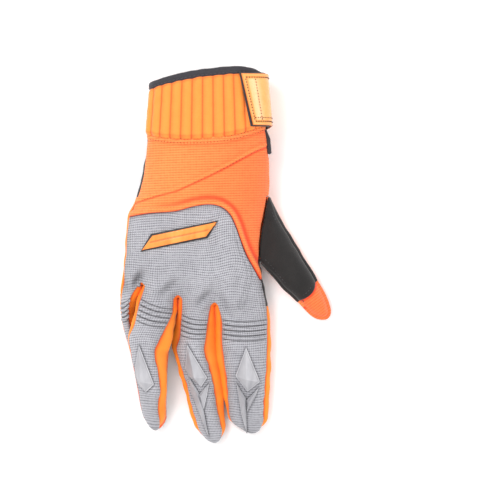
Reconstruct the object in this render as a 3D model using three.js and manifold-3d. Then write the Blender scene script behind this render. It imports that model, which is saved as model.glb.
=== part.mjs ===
// A motocross glove for the right hand, lying palm down: a hollow shell of sewn panels.
// Millimetres, +Z up, fingers towards -Y, thumb towards +X, origin under the middle of the glove.
import * as THREE from "three";
import Module from "manifold-3d";

const wasm = await Module();
wasm.setup();

// Driving sizes
const handWidth = 92; // across the knuckles
const handLength = 102; // finger crotches to the cuff's lower seam
const handHeight = 18; // crown of the back over its side seams
const fingerHeight = 18; // a finger's full height
const indexLength = 80;
const middleLength = 88;
const ringLength = 86;
const pinkyLength = 65;
const thumbLength = 71;
const thumbWidth = 24;
const cuffLength = 36;
const cuffHalfWidth = 35;
const cuffDip = 5; // how far the cuff's edge drops on the thumb side, under the strap
const cuffHalfHeight = 15.5;
const cuffThickness = 1.8;
const cuffRibs = 26;
const ribHeight = 0.8;
const bindingLength = 4.6;
const bindingThickness = 3.4;
const strapWidth = 32;
const strapThickness = 1.2;
const backingThickness = 1.0;
const backingMargin = 0.7;
const backThickness = 1.8;
const palmThickness = 1.2;
const wallThickness = 1.2;
const sidePuff = 2.6; // how far a finger's side wall swells past its seams
const pleatHeight = 1.0;
const pleatPitch = 3.2;
const pleatCount = 5;
const crotchDepth = 6.5; // how far the back dips between two knuckles
const crotchWidth = 5.2;
const notchWidth = 5; // the gap in the knit back where a finger wall turns round
const padHeight = 1.8; // the ridge of a finger pad over its rim
const padRim = 0.7;
const padClearance = 0.5;
const badgeCentre = { x: -0.11, y: 0.385 }; // shares of handWidth and handLength
const badgeRise = 0.2;
const badgeRim = 1;
const badgeClearance = 0.5;
const badgeLength = 42;
const badgeWidth = 11;
const badgeThickness = 1.0;
const pipingRadius = 1.3;
const seamGap = 0.5; // clearance between neighbouring pieces
const liftGap = 0.5; // clearance under what lies on another piece

const mat = (color, roughness) => new THREE.MeshStandardMaterial({ color, roughness, metalness: 0 });
const meshOrange = mat("#f27a35", 0.85);
const ribOrange = mat("#f5952f", 0.7);
const wallOrange = mat("#f5831f", 0.65);
const strapOrange = mat("#f0a040", 0.4);
const knitGrey = mat("#9c9da1", 0.9);
const padGrey = mat("#a9aaab", 0.45);
const suedeBlack = mat("#1b1a1c", 0.9);
const trimBlack = mat("#26242a", 0.75);

// The value of a named column at a share along the rows, as a smooth curve through them.
function column(rows, name, along) {
  let i = rows.findIndex((row) => row.along > along);
  if (i < 0) i = rows.length - 1;
  i = Math.max(1, i);
  const [a, b] = [rows[i - 1], rows[i]];
  const span = b.along - a.along;
  const slope = (j) => {
    const [p, q] = [rows[Math.max(0, j - 1)], rows[Math.min(rows.length - 1, j + 1)]];
    return (q[name] - p[name]) / (q.along - p.along);
  };
  const t = Math.min(1, Math.max(0, (along - a.along) / span));
  const [t2, t3] = [t * t, t * t * t];
  return (
    (2 * t3 - 3 * t2 + 1) * a[name] +
    (t3 - 2 * t2 + t) * span * slope(i - 1) +
    (3 * t2 - 2 * t3) * b[name] +
    (t3 - t2) * span * slope(i)
  );
}
const ease = THREE.MathUtils.smoothstep;
const mix = THREE.MathUtils.lerp;
const bell = (x, centre, width) => Math.exp(-(((x - centre) / width) ** 2));
const point = (x, y, z) => new THREE.Vector3(x, y, z);
// How high a panel stands over its two seams, from one edge (-1) to the other (1).
const domed = (across, squareness = 0.62) => Math.max(0, 1 - Math.abs(across) ** 2.35) ** squareness;

// The hand: along runs from the finger crotches (0) to the cuff seam (1). The two edges are
// shares of handWidth, the heights shares of handHeight.
const handRows = [
  { along: -0.08, pinkySide: -0.507, thumbSide: 0.475, pinkyZ: 0.25, thumbZ: 0.7, crown: 0.66 },
  { along: -0.02, pinkySide: -0.507, thumbSide: 0.476, pinkyZ: 0.32, thumbZ: 0.72, crown: 0.78 },
  { along: 0.06, pinkySide: -0.5, thumbSide: 0.455, pinkyZ: 0.42, thumbZ: 0.72, crown: 0.88 },
  { along: 0.245, pinkySide: -0.477, thumbSide: 0.428, pinkyZ: 0.56, thumbZ: 0.72, crown: 0.98 },
  { along: 0.4, pinkySide: -0.464, thumbSide: 0.44, pinkyZ: 0.62, thumbZ: 0.72, crown: 1.02 },
  { along: 0.515, pinkySide: -0.449, thumbSide: 0.464, pinkyZ: 0.66, thumbZ: 0.74, crown: 1.02 },
  { along: 0.613, pinkySide: -0.4, thumbSide: 0.48, pinkyZ: 0.74, thumbZ: 0.8, crown: 1.0 },
  { along: 0.705, pinkySide: -0.37, thumbSide: 0.488, pinkyZ: 0.82, thumbZ: 0.86, crown: 0.96 },
  { along: 0.8, pinkySide: -0.348, thumbSide: 0.49, pinkyZ: 0.92, thumbZ: 0.94, crown: 0.9 },
  { along: 0.9, pinkySide: -0.332, thumbSide: 0.488, pinkyZ: 1.0, thumbZ: 1.0, crown: 0.86 },
  { along: 1.1, pinkySide: -0.325, thumbSide: 0.468, pinkyZ: 1.05, thumbZ: 1.05, crown: 0.84 },
];
const hand = (name, y) => column(handRows, name, y / handLength);
const nearCuff = (y) => ease(y, 0.78 * handLength, handLength);
const handEdge = (side, y) => hand(side < 0 ? "pinkySide" : "thumbSide", y) * handWidth;
// Crotches between the fingers, and the outer ends of the knuckle line, from the little finger on.
const knuckleLine = [
  { across: -0.507, along: 0.03 },
  { across: -0.367, along: 0.08 },
  { across: -0.122, along: 0 },
  { across: 0.129, along: -0.043 },
  { across: 0.481, along: -0.043 },
].map((row) => point(row.across * handWidth, row.along * handLength, 0));

// The cuff's lower seam and upper edge, by the angle round it: 0 at the thumb side, 90 degrees on the back.
const cuffSeam = (turn) => handLength + 3 * Math.cos(turn) + 5.5 * Math.cos(turn) ** 2;
const cuffEdge = (turn) =>
  handLength + cuffLength + 5.4 * Math.cos(turn) - 2.5 * Math.cos(turn) ** 2 - cuffDip * Math.max(0, Math.cos(turn)) ** 4;
function handTop(x, y) {
  const [low, high] = [handEdge(-1, y), handEdge(1, y)];
  const across = (2 * x - low - high) / (high - low);
  const seam = mix(hand("pinkyZ", y), hand("thumbZ", y), (Math.min(1, Math.max(-1, across)) + 1) / 2);
  let z = (seam + hand("crown", y) * domed(across, mix(0.62, 0.45, nearCuff(y)))) * handHeight;
  for (const crotch of knuckleLine.slice(1, 4))
    z -= crotchDepth * bell(x, crotch.x, crotchWidth) * (1 - ease(y - crotch.y, 0, 4 * crotchWidth));
  return z;
}
// The cuff's underside is lifted by the strap that passes below it.
const strapStack = ribHeight + 2 * liftGap + backingThickness + strapThickness;
const palmFloor = (y) => (strapStack - 0.3) * ease(y, 0.8 * handLength, 0.93 * handLength);
// The palm's two long seams, which draw in and up to meet the cuff's round section.
const palmTurn = THREE.MathUtils.degToRad(50); // how far below its sides the cuff meets those seams
function palmEdge(side, y) {
  const inset = mix(0.024, 0.125, nearCuff(y)) * handWidth;
  const rise = mix(0.14, 0.2, nearCuff(y)) * fingerHeight;
  const end = side < 0 ? Math.PI : 0;
  const drop = (cuffSeam(end) - cuffSeam(end - side * palmTurn)) * nearCuff(y);
  return point(handEdge(side, y) - side * inset, y - drop, palmFloor(y) + rise);
}

// Fingers: left and right are the top seams, the Below columns the palm seams, as shares of
// handWidth from the hand's middle; floor, seams and crown are shares of fingerHeight, and the
// puffs are shares of sidePuff.
const fingers = {
  pinky: {
    length: pinkyLength,
    from: 0,
    roundTip: 0.88,
    rows: [
      { along: 0, left: -0.507, right: -0.394, leftBelow: -0.483, rightBelow: -0.387, floor: 0, leftZ: 0.34, rightZ: 0.8, crown: 0.3, leftPuff: 0.75, rightPuff: 0.6 },
      { along: 0.12, left: -0.508, right: -0.448, leftBelow: -0.49, rightBelow: -0.392, floor: 0, leftZ: 0.36, rightZ: 0.66, crown: 0.24, leftPuff: 0.5, rightPuff: 0.5 },
      { along: 0.28, left: -0.503, right: -0.456, leftBelow: -0.492, rightBelow: -0.392, floor: 0, leftZ: 0.36, rightZ: 0.56, crown: 0.18, leftPuff: 0.2, rightPuff: 0.3 },
      { along: 0.42, left: -0.482, right: -0.432, leftBelow: -0.474, rightBelow: -0.37, floor: 0, leftZ: 0.36, rightZ: 0.5, crown: 0.14, leftPuff: 0.1, rightPuff: 0.2 },
      { along: 0.55, left: -0.455, right: -0.398, leftBelow: -0.448, rightBelow: -0.34, floor: 0, leftZ: 0.36, rightZ: 0.48, crown: 0.12, leftPuff: 0.1, rightPuff: 0.2 },
      { along: 0.7, left: -0.418, right: -0.35, leftBelow: -0.412, rightBelow: -0.305, floor: 0, leftZ: 0.36, rightZ: 0.44, crown: 0.1, leftPuff: 0.1, rightPuff: 0.2 },
      { along: 0.85, left: -0.383, right: -0.305, leftBelow: -0.378, rightBelow: -0.278, floor: 0, leftZ: 0.34, rightZ: 0.4, crown: 0.1, leftPuff: 0.1, rightPuff: 0.3 },
      { along: 1, left: -0.337, right: -0.262, leftBelow: -0.333, rightBelow: -0.252, floor: 0, leftZ: 0.3, rightZ: 0.33, crown: 0.08, leftPuff: 0.1, rightPuff: 0.3 },
    ],
  },
  ring: {
    length: ringLength,
    from: 1,
    roundTip: 0.9,
    rows: [
      { along: 0, left: -0.346, right: -0.149, leftBelow: -0.338, rightBelow: -0.136, floor: 0, leftZ: 0.85, rightZ: 0.85, crown: 0.4, leftPuff: 0.3, rightPuff: 0.7 },
      { along: 0.12, left: -0.388, right: -0.16, leftBelow: -0.358, rightBelow: -0.15, floor: 0.32, leftZ: 0.96, rightZ: 1.1, crown: 0.42, leftPuff: 1, rightPuff: 0.9 },
      { along: 0.25, left: -0.414, right: -0.212, leftBelow: -0.4, rightBelow: -0.166, floor: 0.56, leftZ: 1.02, rightZ: 1.24, crown: 0.4, leftPuff: 1, rightPuff: 0.9 },
      { along: 0.34, left: -0.452, right: -0.25, leftBelow: -0.434, rightBelow: -0.178, floor: 0.57, leftZ: 1.02, rightZ: 1.24, crown: 0.38, leftPuff: 0.5, rightPuff: 0.9 },
      { along: 0.42, left: -0.445, right: -0.278, leftBelow: -0.43, rightBelow: -0.188, floor: 0.57, leftZ: 1.0, rightZ: 1.22, crown: 0.36, leftPuff: 0.2, rightPuff: 0.9 },
      { along: 0.55, left: -0.42, right: -0.258, leftBelow: -0.402, rightBelow: -0.198, floor: 0.56, leftZ: 0.98, rightZ: 1.18, crown: 0.34, leftPuff: 0.1, rightPuff: 0.8 },
      { along: 0.7, left: -0.394, right: -0.241, leftBelow: -0.376, rightBelow: -0.202, floor: 0.5, leftZ: 0.92, rightZ: 1.06, crown: 0.32, leftPuff: 0.1, rightPuff: 0.8 },
      { along: 0.85, left: -0.37, right: -0.256, leftBelow: -0.352, rightBelow: -0.207, floor: 0.24, leftZ: 0.62, rightZ: 0.8, crown: 0.3, leftPuff: 0.1, rightPuff: 0.7 },
      { along: 1, left: -0.33, right: -0.225, leftBelow: -0.32, rightBelow: -0.205, floor: 0.02, leftZ: 0.34, rightZ: 0.42, crown: 0.25, leftPuff: 0.1, rightPuff: 0.4 },
    ],
  },
  middle: {
    length: middleLength,
    from: 2,
    roundTip: 0.87,
    rows: [
      { along: 0, left: -0.095, right: 0.102, leftBelow: -0.095, rightBelow: 0.115, floor: 0, leftZ: 0.85, rightZ: 0.85, crown: 0.4, leftPuff: 0.8, rightPuff: 0.5 },
      { along: 0.12, left: -0.099, right: 0.085, leftBelow: -0.1, rightBelow: 0.128, floor: 0.02, leftZ: 0.72, rightZ: 0.82, crown: 0.46, leftPuff: 1.2, rightPuff: 0.5 },
      { along: 0.26, left: -0.109, right: 0.065, leftBelow: -0.112, rightBelow: 0.136, floor: 0.06, leftZ: 0.6, rightZ: 0.82, crown: 0.46, leftPuff: 1.2, rightPuff: 0.5 },
      { along: 0.34, left: -0.132, right: 0.058, leftBelow: -0.124, rightBelow: 0.14, floor: 0.07, leftZ: 0.56, rightZ: 0.82, crown: 0.45, leftPuff: 0.8, rightPuff: 0.5 },
      { along: 0.45, left: -0.102, right: 0.09, leftBelow: -0.106, rightBelow: 0.152, floor: 0.07, leftZ: 0.54, rightZ: 0.78, crown: 0.43, leftPuff: 0.8, rightPuff: 0.5 },
      { along: 0.6, left: -0.06, right: 0.122, leftBelow: -0.068, rightBelow: 0.166, floor: 0.05, leftZ: 0.5, rightZ: 0.7, crown: 0.4, leftPuff: 0.7, rightPuff: 0.6 },
      { along: 0.78, left: -0.018, right: 0.15, leftBelow: -0.026, rightBelow: 0.184, floor: 0.02, leftZ: 0.44, rightZ: 0.56, crown: 0.36, leftPuff: 0.6, rightPuff: 0.7 },
      { along: 1, left: 0.045, right: 0.205, leftBelow: 0.041, rightBelow: 0.205, floor: 0, leftZ: 0.3, rightZ: 0.34, crown: 0.3, leftPuff: 0.3, rightPuff: 0.7 },
    ],
  },
  index: {
    length: indexLength,
    from: 3,
    roundTip: 0.87,
    rows: [
      { along: 0, left: 0.156, right: 0.481, leftBelow: 0.163, rightBelow: 0.454, floor: 0, leftZ: 0.85, rightZ: 0.72, crown: 0.5, leftPuff: 0.8, rightPuff: 0.75 },
      { along: 0.1, left: 0.173, right: 0.486, leftBelow: 0.175, rightBelow: 0.466, floor: 0, leftZ: 0.72, rightZ: 0.66, crown: 0.5, leftPuff: 1.1, rightPuff: 1 },
      { along: 0.3, left: 0.177, right: 0.486, leftBelow: 0.175, rightBelow: 0.476, floor: 0.04, leftZ: 0.6, rightZ: 0.58, crown: 0.46, leftPuff: 1.2, rightPuff: 1.1 },
      { along: 0.5, left: 0.2, right: 0.478, leftBelow: 0.198, rightBelow: 0.472, floor: 0.05, leftZ: 0.56, rightZ: 0.55, crown: 0.43, leftPuff: 1.1, rightPuff: 1.2 },
      { along: 0.7, left: 0.217, right: 0.466, leftBelow: 0.22, rightBelow: 0.464, floor: 0.03, leftZ: 0.5, rightZ: 0.5, crown: 0.4, leftPuff: 0.7, rightPuff: 1.2 },
      { along: 0.87, left: 0.228, right: 0.462, leftBelow: 0.232, rightBelow: 0.46, floor: 0.01, leftZ: 0.42, rightZ: 0.42, crown: 0.36, leftPuff: 0.4, rightPuff: 1.1 },
      { along: 1, left: 0.29, right: 0.47, leftBelow: 0.29, rightBelow: 0.466, floor: 0, leftZ: 0.32, rightZ: 0.32, crown: 0.32, leftPuff: 0.3, rightPuff: 0.8 },
    ],
  },
};
// The thumb lies in its own axes, from its root on the hand's edge: Down columns are shares of
// thumbLength, Across columns of thumbWidth, on the outer (cuff) and inner (index) side.
const thumbRoot = { along: 0.455, turn: THREE.MathUtils.degToRad(-54.6) };
const thumbRows = [
  { along: 0, outerDown: -0.185, innerDown: 0.228, outerAcross: 0.52, innerAcross: -0.58, seamZ: 0.6, crown: 0.2 },
  { along: 0.2, outerDown: -0.01, innerDown: 0.375, outerAcross: 0.42, innerAcross: -0.49, seamZ: 0.5, crown: 0.32 },
  { along: 0.4, outerDown: 0.22, innerDown: 0.525, outerAcross: 0.36, innerAcross: -0.45, seamZ: 0.46, crown: 0.38 },
  { along: 0.6, outerDown: 0.445, innerDown: 0.67, outerAcross: 0.31, innerAcross: -0.37, seamZ: 0.42, crown: 0.38 },
  { along: 0.8, outerDown: 0.7, innerDown: 0.86, outerAcross: 0.26, innerAcross: -0.28, seamZ: 0.37, crown: 0.34 },
  { along: 1, outerDown: 0.96, innerDown: 1.0, outerAcross: 0.22, innerAcross: -0.2, seamZ: 0.28, crown: 0.3 },
];
const thumbTipStart = 0.74; // the patch ends and the mesh tip begins
const thumbRoundTip = 0.82;

const steps = (count, from = 0, to = 1) => Array.from({ length: count + 1 }, (_, i) => mix(from, to, i / count));
// Shares along a finger: even steps, then close ones round its end.
const alongSteps = (straight, round, roundTip, from = 0) => [
  ...steps(straight, from, roundTip),
  ...steps(round, 0, Math.PI / 2).slice(1).map((turn) => roundTip + (1 - roundTip) * Math.sin(turn)),
];
const acrossSteps = (count) => steps(count, -Math.PI / 2, Math.PI / 2).map((turn) => Math.sin(turn * 0.92) / Math.sin(Math.PI * 0.46));
// Rows of the palm, shares of the way from the knuckle line to the cuff, and those where the thumb
// joins the hand and where the heel's side panel ends.
const palmRows = [0, 0.06, 0.15, 0.257, 0.37, 0.49, 0.601, 0.71, 0.81, 0.9, 1];
const webRow = 3;
const wristRow = 6;
const heelRow = 6;
const handStation = (side, row) => {
  const root = knuckleLine[side < 0 ? 0 : 4].y;
  return mix(root, cuffSeam(side < 0 ? Math.PI : 0) - seamGap, palmRows[row]);
};
// How much narrower a finger has become at a share along it: 1, then a round end.
const narrowing = (along, roundTip) =>
  along <= roundTip ? 1 : Math.sqrt(Math.max(0, 1 - ((along - roundTip) / (1 - roundTip)) ** 2));

// A finger's surfaces at a share along it and a place across it (-1 left, 1 right).
// Between the stations that its panels share, a surface runs straight, so that two panels which
// meet in a seam keep to the same line whatever rows they have of their own.
function straightBetween(stations, surface) {
  return (along, across) => {
    const next = Math.max(1, stations.findIndex((station) => station >= along - 1e-9));
    const [a, b] = [stations[next - 1], stations[next]];
    return surface(a, across).lerp(surface(b, across), (along - a) / (b - a));
  };
}
function digitOf({ length, from, roundTip, rows }) {
  const [leftRoot, rightRoot] = [knuckleLine[from], knuckleLine[from + 1]];
  const get = (name, along) => column(rows, name, along);
  const plan = (along, across, below) => {
    const [left, right] = [get("left" + below, along), get("right" + below, along)];
    const x = (mix(left, right, 0.5) + ((right - left) / 2) * across * narrowing(along, roundTip)) * handWidth;
    const root = mix(leftRoot.y, rightRoot.y, (across + 1) / 2);
    const middle = (leftRoot.y + rightRoot.y) / 2;
    return point(x, mix(root, middle, Math.min(1, along / 0.5)) - along * length, 0);
  };
  const top = (along, across) => {
    const narrow = narrowing(along, roundTip);
    const p = plan(along, across, "");
    const [a, b] = [get("leftZ", along), get("rightZ", along)];
    const z = (a + b) / 2 + ((b - a) / 2) * across * narrow + get("crown", along) * narrow ** 0.8 * domed(across);
    p.z = mix(handTop(p.x, p.y), z * fingerHeight, ease(along, 0, 0.2));
    return p;
  };
  const below = (along, across) => {
    const p = plan(along, across, "Below");
    const edge = 1 - narrowing(along, roundTip) * (1 - across ** 4);
    p.z = (get("floor", along) + 0.14 * edge) * fingerHeight;
    return p;
  };
  const puff = (along, side) => get(side < 0 ? "leftPuff" : "rightPuff", along) * sidePuff;
  const stations = alongSteps(8, 4, roundTip);
  return { top: straightBetween(stations, top), below: straightBetween(stations, below), puff, roundTip, stations };
}
const digits = Object.fromEntries(Object.entries(fingers).map(([name, finger]) => [name, digitOf(finger)]));

function thumbDigit() {
  const rootY = (side) => handStation(1, side > 0 ? wristRow : webRow) - side * seamGap;
  const middleY = thumbRoot.along * handLength;
  const root = point(handEdge(1, middleY), middleY, 0);
  const down = point(Math.cos(thumbRoot.turn), Math.sin(thumbRoot.turn), 0);
  const outward = point(-down.y, down.x, 0);
  const place = (along, across, inset) => {
    const share = (outer, inner) => {
      const [a, b] = [column(thumbRows, inner, along), column(thumbRows, outer, along)];
      return mix(a, b, 0.5) + ((b - a) / 2) * across * narrowing(along, thumbRoundTip);
    };
    const p = root.clone();
    p.addScaledVector(down, share("outerDown", "innerDown") * thumbLength);
    return p.addScaledVector(outward, share("outerAcross", "innerAcross") * (thumbWidth - inset));
  };
  // The root row lies along the hand's edge, a seam away from it, and the rows after it swing round.
  const fromEdge = (along, across, inset, edge) => {
    const y = mix(rootY(-1), rootY(1), (across + 1) / 2);
    const onEdge = edge(y).add(point(seamGap, 0, 0));
    const p = place(along, across, inset);
    const left = 1 - ease(along, 0, 0.3);
    p.addScaledVector(onEdge.clone().sub(place(0, across, inset)).setZ(0), left);
    return { p, left, onEdge };
  };
  const top = (along, across) => {
    const { p, left, onEdge } = fromEdge(along, across, 0, (y) => point(handEdge(1, y), y, 0));
    const narrow = narrowing(along, thumbRoundTip) ** 0.8;
    const crown = column(thumbRows, "crown", along) * narrow * domed(across);
    const z = (column(thumbRows, "seamZ", along) + crown) * fingerHeight;
    p.z = mix(z, handTop(handEdge(1, onEdge.y), onEdge.y), left);
    return p;
  };
  const below = (along, across) => {
    const { p, left, onEdge } = fromEdge(along, across, 1.5, (y) => palmEdge(1, y));
    const z = 0.14 * (1 - narrowing(along, thumbRoundTip) * (1 - across ** 4)) * fingerHeight;
    p.z = mix(z, onEdge.z, left);
    return p;
  };
  return { top, below, roundTip: thumbRoundTip };
}
digits.thumb = thumbDigit();

// An open skin of quads and triangles over shared points. A point may carry lift, how far the
// outer face stands over the skin, and lean, the way that its inner face lies at a seam.
class Skin {
  constructor() {
    this.points = [];
    this.faces = [];
    this.known = new Map();
  }
  index(p) {
    const key = p.toArray().map((value) => value.toFixed(3)).join();
    if (!this.known.has(key)) {
      this.known.set(key, this.points.length);
      this.points.push(p);
    } else if (p.lean) this.points[this.known.get(key)].lean = p.lean;
    return this.known.get(key);
  }
  triangle(a, b, c) {
    const face = [a, b, c].map((p) => this.index(p));
    if (new Set(face).size === 3) this.faces.push(face);
  }
  grid(rows) {
    for (let j = 0; j + 1 < rows.length; j++)
      for (let i = 0; i + 1 < rows[j].length; i++) {
        const [a, b, c, d] = [rows[j][i], rows[j][i + 1], rows[j + 1][i + 1], rows[j + 1][i]];
        this.triangle(a, b, c);
        this.triangle(a, c, d);
      }
    return this;
  }
  // Turns every face round if together they face against the given way out at their middles.
  facing(wayOut) {
    let sum = 0;
    for (const face of this.faces) {
      const [a, b, c] = face.map((i) => this.points[i]);
      const middle = a.clone().add(b).add(c).divideScalar(3);
      sum += b.clone().sub(a).cross(c.clone().sub(a)).dot(wayOut(middle));
    }
    if (sum < 0) this.faces = this.faces.map(([a, b, c]) => [a, c, b]);
    return this;
  }
  normals() {
    const sums = this.points.map(() => point(0, 0, 0));
    for (const face of this.faces) {
      const [a, b, c] = face.map((i) => this.points[i]);
      const area = b.clone().sub(a).cross(c.clone().sub(a));
      face.forEach((i) => sums[i].add(area));
    }
    return sums.map((sum) => sum.normalize());
  }
  // The closed solid between the skin, raised by its lifts, and the same skin sunk by a thickness.
  thickened(thickness) {
    const normals = this.normals();
    const outer = this.points.map((p, i) => p.clone().addScaledVector(normals[i], p.lift ?? 0));
    const inner = this.points.map((p, i) => p.clone().addScaledVector(p.lean ?? normals[i], -thickness));
    const count = this.points.length;
    const faces = [];
    const edges = new Map();
    for (const [a, b, c] of this.faces) {
      faces.push([a, b, c], [a + count, c + count, b + count]);
      for (const [from, to] of [[a, b], [b, c], [c, a]]) {
        if (edges.has(to + ">" + from)) edges.delete(to + ">" + from);
        else edges.set(from + ">" + to, [from, to]);
      }
    }
    for (const [from, to] of edges.values())
      faces.push([from, from + count, to], [to, from + count, to + count]);
    return geometryOf([...outer, ...inner], faces);
  }
}
function geometryOf(points, faces) {
  const geometry = new THREE.BufferGeometry();
  geometry.setAttribute("position", new THREE.Float32BufferAttribute(points.flatMap((p) => p.toArray()), 3));
  geometry.setIndex(faces.flat());
  geometry.computeVertexNormals();
  return geometry;
}
const solidOf = (geometry) =>
  new wasm.Manifold(
    new wasm.Mesh({
      numProp: 3,
      vertProperties: geometry.attributes.position.array,
      triVerts: new Uint32Array(geometry.index.array),
    }),
  );
function geometryOfSolid(solid) {
  const { numProp, vertProperties, triVerts } = solid.getMesh();
  const points = [];
  for (let i = 0; i < vertProperties.length; i += numProp) points.push(point(...vertProperties.slice(i, i + 3)));
  const faces = [];
  for (let i = 0; i < triVerts.length; i += 3) faces.push([...triVerts.slice(i, i + 3)]);
  return geometryOf(points, faces);
}
const glove = new THREE.Group();
const body = new THREE.Group();
glove.add(body);
function add(name, geometry, material) {
  const mesh = new THREE.Mesh(geometry, material);
  mesh.name = name;
  body.add(mesh);
  return mesh;
}

// Panels of the back. A seam's inner face leans the same way on both sides of the seam, so
// that the gap stays even through the thickness.
function seamLean({ top, below, out }, upward) {
  const chord = below.clone().sub(top);
  const wallNormal = out.clone().multiplyScalar(-chord.z).add(point(0, 0, chord.dot(out))).normalize();
  return wallNormal.add(point(0, 0, upward)).normalize();
}
const up = () => point(0, 0, 1);
const leftward = point(-1, 0, 0);
const rightward = point(1, 0, 0);

const cuffCentre = () => point(0.071 * handWidth, 0, strapStack + cuffHalfHeight);
// A cosine or sine that draws a slightly squared circle.
const squared = (value) => Math.sign(value) * Math.abs(value) ** 0.86;
function cuffPoint(turn, along, out) {
  const y = mix(cuffSeam(turn), cuffEdge(turn), along);
  const centre = cuffCentre();
  const flare = 1 + 0.062 * (1 - Math.min(1, along));
  return point(
    centre.x + (cuffHalfWidth * flare + out) * squared(Math.cos(turn)),
    y,
    centre.z + (cuffHalfHeight + out) * squared(Math.sin(turn)),
  );
}

// Where the knit back meets the mesh back, from the little finger side to the thumb side.
const backSeam = [
  { along: 0, across: -0.45, up: 0.515 },
  { along: 0.15, across: -0.312, up: 0.534 },
  { along: 0.3, across: -0.136, up: 0.546 },
  { along: 0.42, across: 0, up: 0.577 },
  { along: 0.52, across: 0.102, up: 0.586 },
  { along: 0.6, across: 0.177, up: 0.57 },
  { along: 0.67, across: 0.231, up: 0.528 },
  { along: 0.75, across: 0.272, up: 0.454 },
  { along: 0.82, across: 0.306, up: 0.368 },
  { along: 0.89, across: 0.346, up: 0.276 },
  { along: 0.95, across: 0.394, up: 0.196 },
  { along: 1, across: 0.44, up: 0.129 },
];
const backSeamPoint = (along) =>
  point(column(backSeam, "across", along) * handWidth, column(backSeam, "up", along) * handLength, 0);

// A panel of the back between two curves across the hand, its ends on the hand's edges.
function backPanelPoint(u, v, upper, lower) {
  const [a, b] = [upper(u), lower(u)];
  const p = a.clone().lerp(b, v);
  for (const [side, end] of [[-1, 0], [1, 1]]) {
    const [top, bottom] = [upper(end), lower(end)];
    const straight = top.clone().lerp(bottom, v);
    p.x += (handEdge(side, straight.y) - straight.x) * (side < 0 ? 1 - u : u);
  }
  p.z = handTop(p.x, p.y);
  if (u === 0 || u === 1) p.lean = seamLean(handStep(u === 0 ? -1 : 1, p.y), 1);
  return p;
}
const wristSeamPoint = (u) => {
  const turn = Math.PI * (1 - u);
  const share = (1 + squared(Math.cos(turn))) / 2;
  return point(mix(handEdge(-1, handLength), handEdge(1, handLength), share), cuffSeam(turn), 0);
};

const backColumns = 20;
function meshBack() {
  const upper = (u) => wristSeamPoint(u).add(point(0, -seamGap, 0));
  const lower = (u) => backSeamPoint(u).add(point(0, seamGap / 2, 0));
  const rows = steps(10).map((v) => steps(backColumns).map((u) => backPanelPoint(u, v, upper, lower)));
  return new Skin().grid(rows).facing(up).thickened(backThickness);
}

// The knit back: one comb of the hand's knuckles and the four fingers' backs.
const fingerColumns = 5;
const palmColumns = 3;
const wallSteps = 3;
const notchColumns = 2;
const order = ["pinky", "ring", "middle", "index"];
const pleatStart = 0.03;
// Where each of the comb's columns starts on the knuckle line.
function combColumns() {
  const columns = [];
  order.forEach((name, k) => {
    if (k > 0) {
      const [a, b] = [digits[order[k - 1]].top(0, 1), digits[name].top(0, -1)];
      for (const share of steps(notchColumns).slice(1, -1)) {
        const p = a.clone().lerp(b, share);
        p.y += notchWidth * 0.45 * Math.sin(Math.PI * share);
        columns.push({ start: p, between: [order[k - 1], name] });
      }
    }
    for (const across of acrossSteps(fingerColumns)) columns.push({ start: digits[name].top(0, across), name, across });
  });
  return columns;
}
function knitBack() {
  const columns = combColumns();
  const last = columns.length - 1;
  const upper = (u) => backSeamPoint(u).add(point(0, -seamGap / 2, 0));
  const lower = (u) => columns[Math.round(u * last)].start;
  const handRowShares = steps(9);
  const skin = new Skin();
  const rows = handRowShares.map((v) =>
    columns.map(({ start }, i) => {
      const p = v === 1 ? start.clone() : backPanelPoint(i / last, v, upper, lower);
      p.z = handTop(p.x, p.y);
      if (i === 0 || i === last) p.lean = seamLean(handStep(i === 0 ? -1 : 1, p.y), 1);
      else if (v === 1 && columns[i].between) p.lean = seamLean(crotchStep(...columns[i].between), 1);
      return p;
    }),
  );
  skin.grid(rows);
  for (const name of order) {
    const { top, stations } = digits[name];
    const length = fingers[name].length;
    const pleatEnd = pleatStart + (pleatCount * pleatPitch) / length;
    const shares = [
      0,
      ...steps(pleatCount * 2, pleatStart, pleatEnd),
      ...stations.filter((station) => station > pleatEnd + 0.02),
    ];
    const fingerRows = shares.map((along) =>
      acrossSteps(fingerColumns).map((across) => {
        const p = top(along, across);
        const inPleats = along > pleatStart && along < pleatEnd;
        const wave = Math.sin((Math.PI * (along - pleatStart) * length) / pleatPitch) ** 2;
        if (inPleats && Math.abs(across) < 0.99) p.lift = pleatHeight * wave;
        if (Math.abs(across) === 1 || along === 1) p.lean = seamLean(fingerStep(name, along, across), 1);
        return p;
      }),
    );
    skin.grid(fingerRows);
  }
  return skin.facing(up).thickened(backThickness);
}

// The plan direction out of a finger's outline at one of its seams.
function outwardAt(name, along, side, surface = "top") {
  const { roundTip } = digits[name];
  const nearTip = along > roundTip ? Math.asin(Math.min(1, (along - roundTip) / (1 - roundTip))) : 0;
  const at = (share) => digits[name][surface](share, side);
  if (nearTip > 1.5) {
    const tip = at(1).sub(digits[name][surface](0.9, 0)).setZ(0);
    return tip.normalize();
  }
  const step = 0.002;
  const run = at(Math.min(1, along + step)).sub(at(Math.max(0, along - step))).setZ(0).normalize();
  return side < 0 ? point(run.y, -run.x, 0) : point(-run.y, run.x, 0);
}
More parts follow.
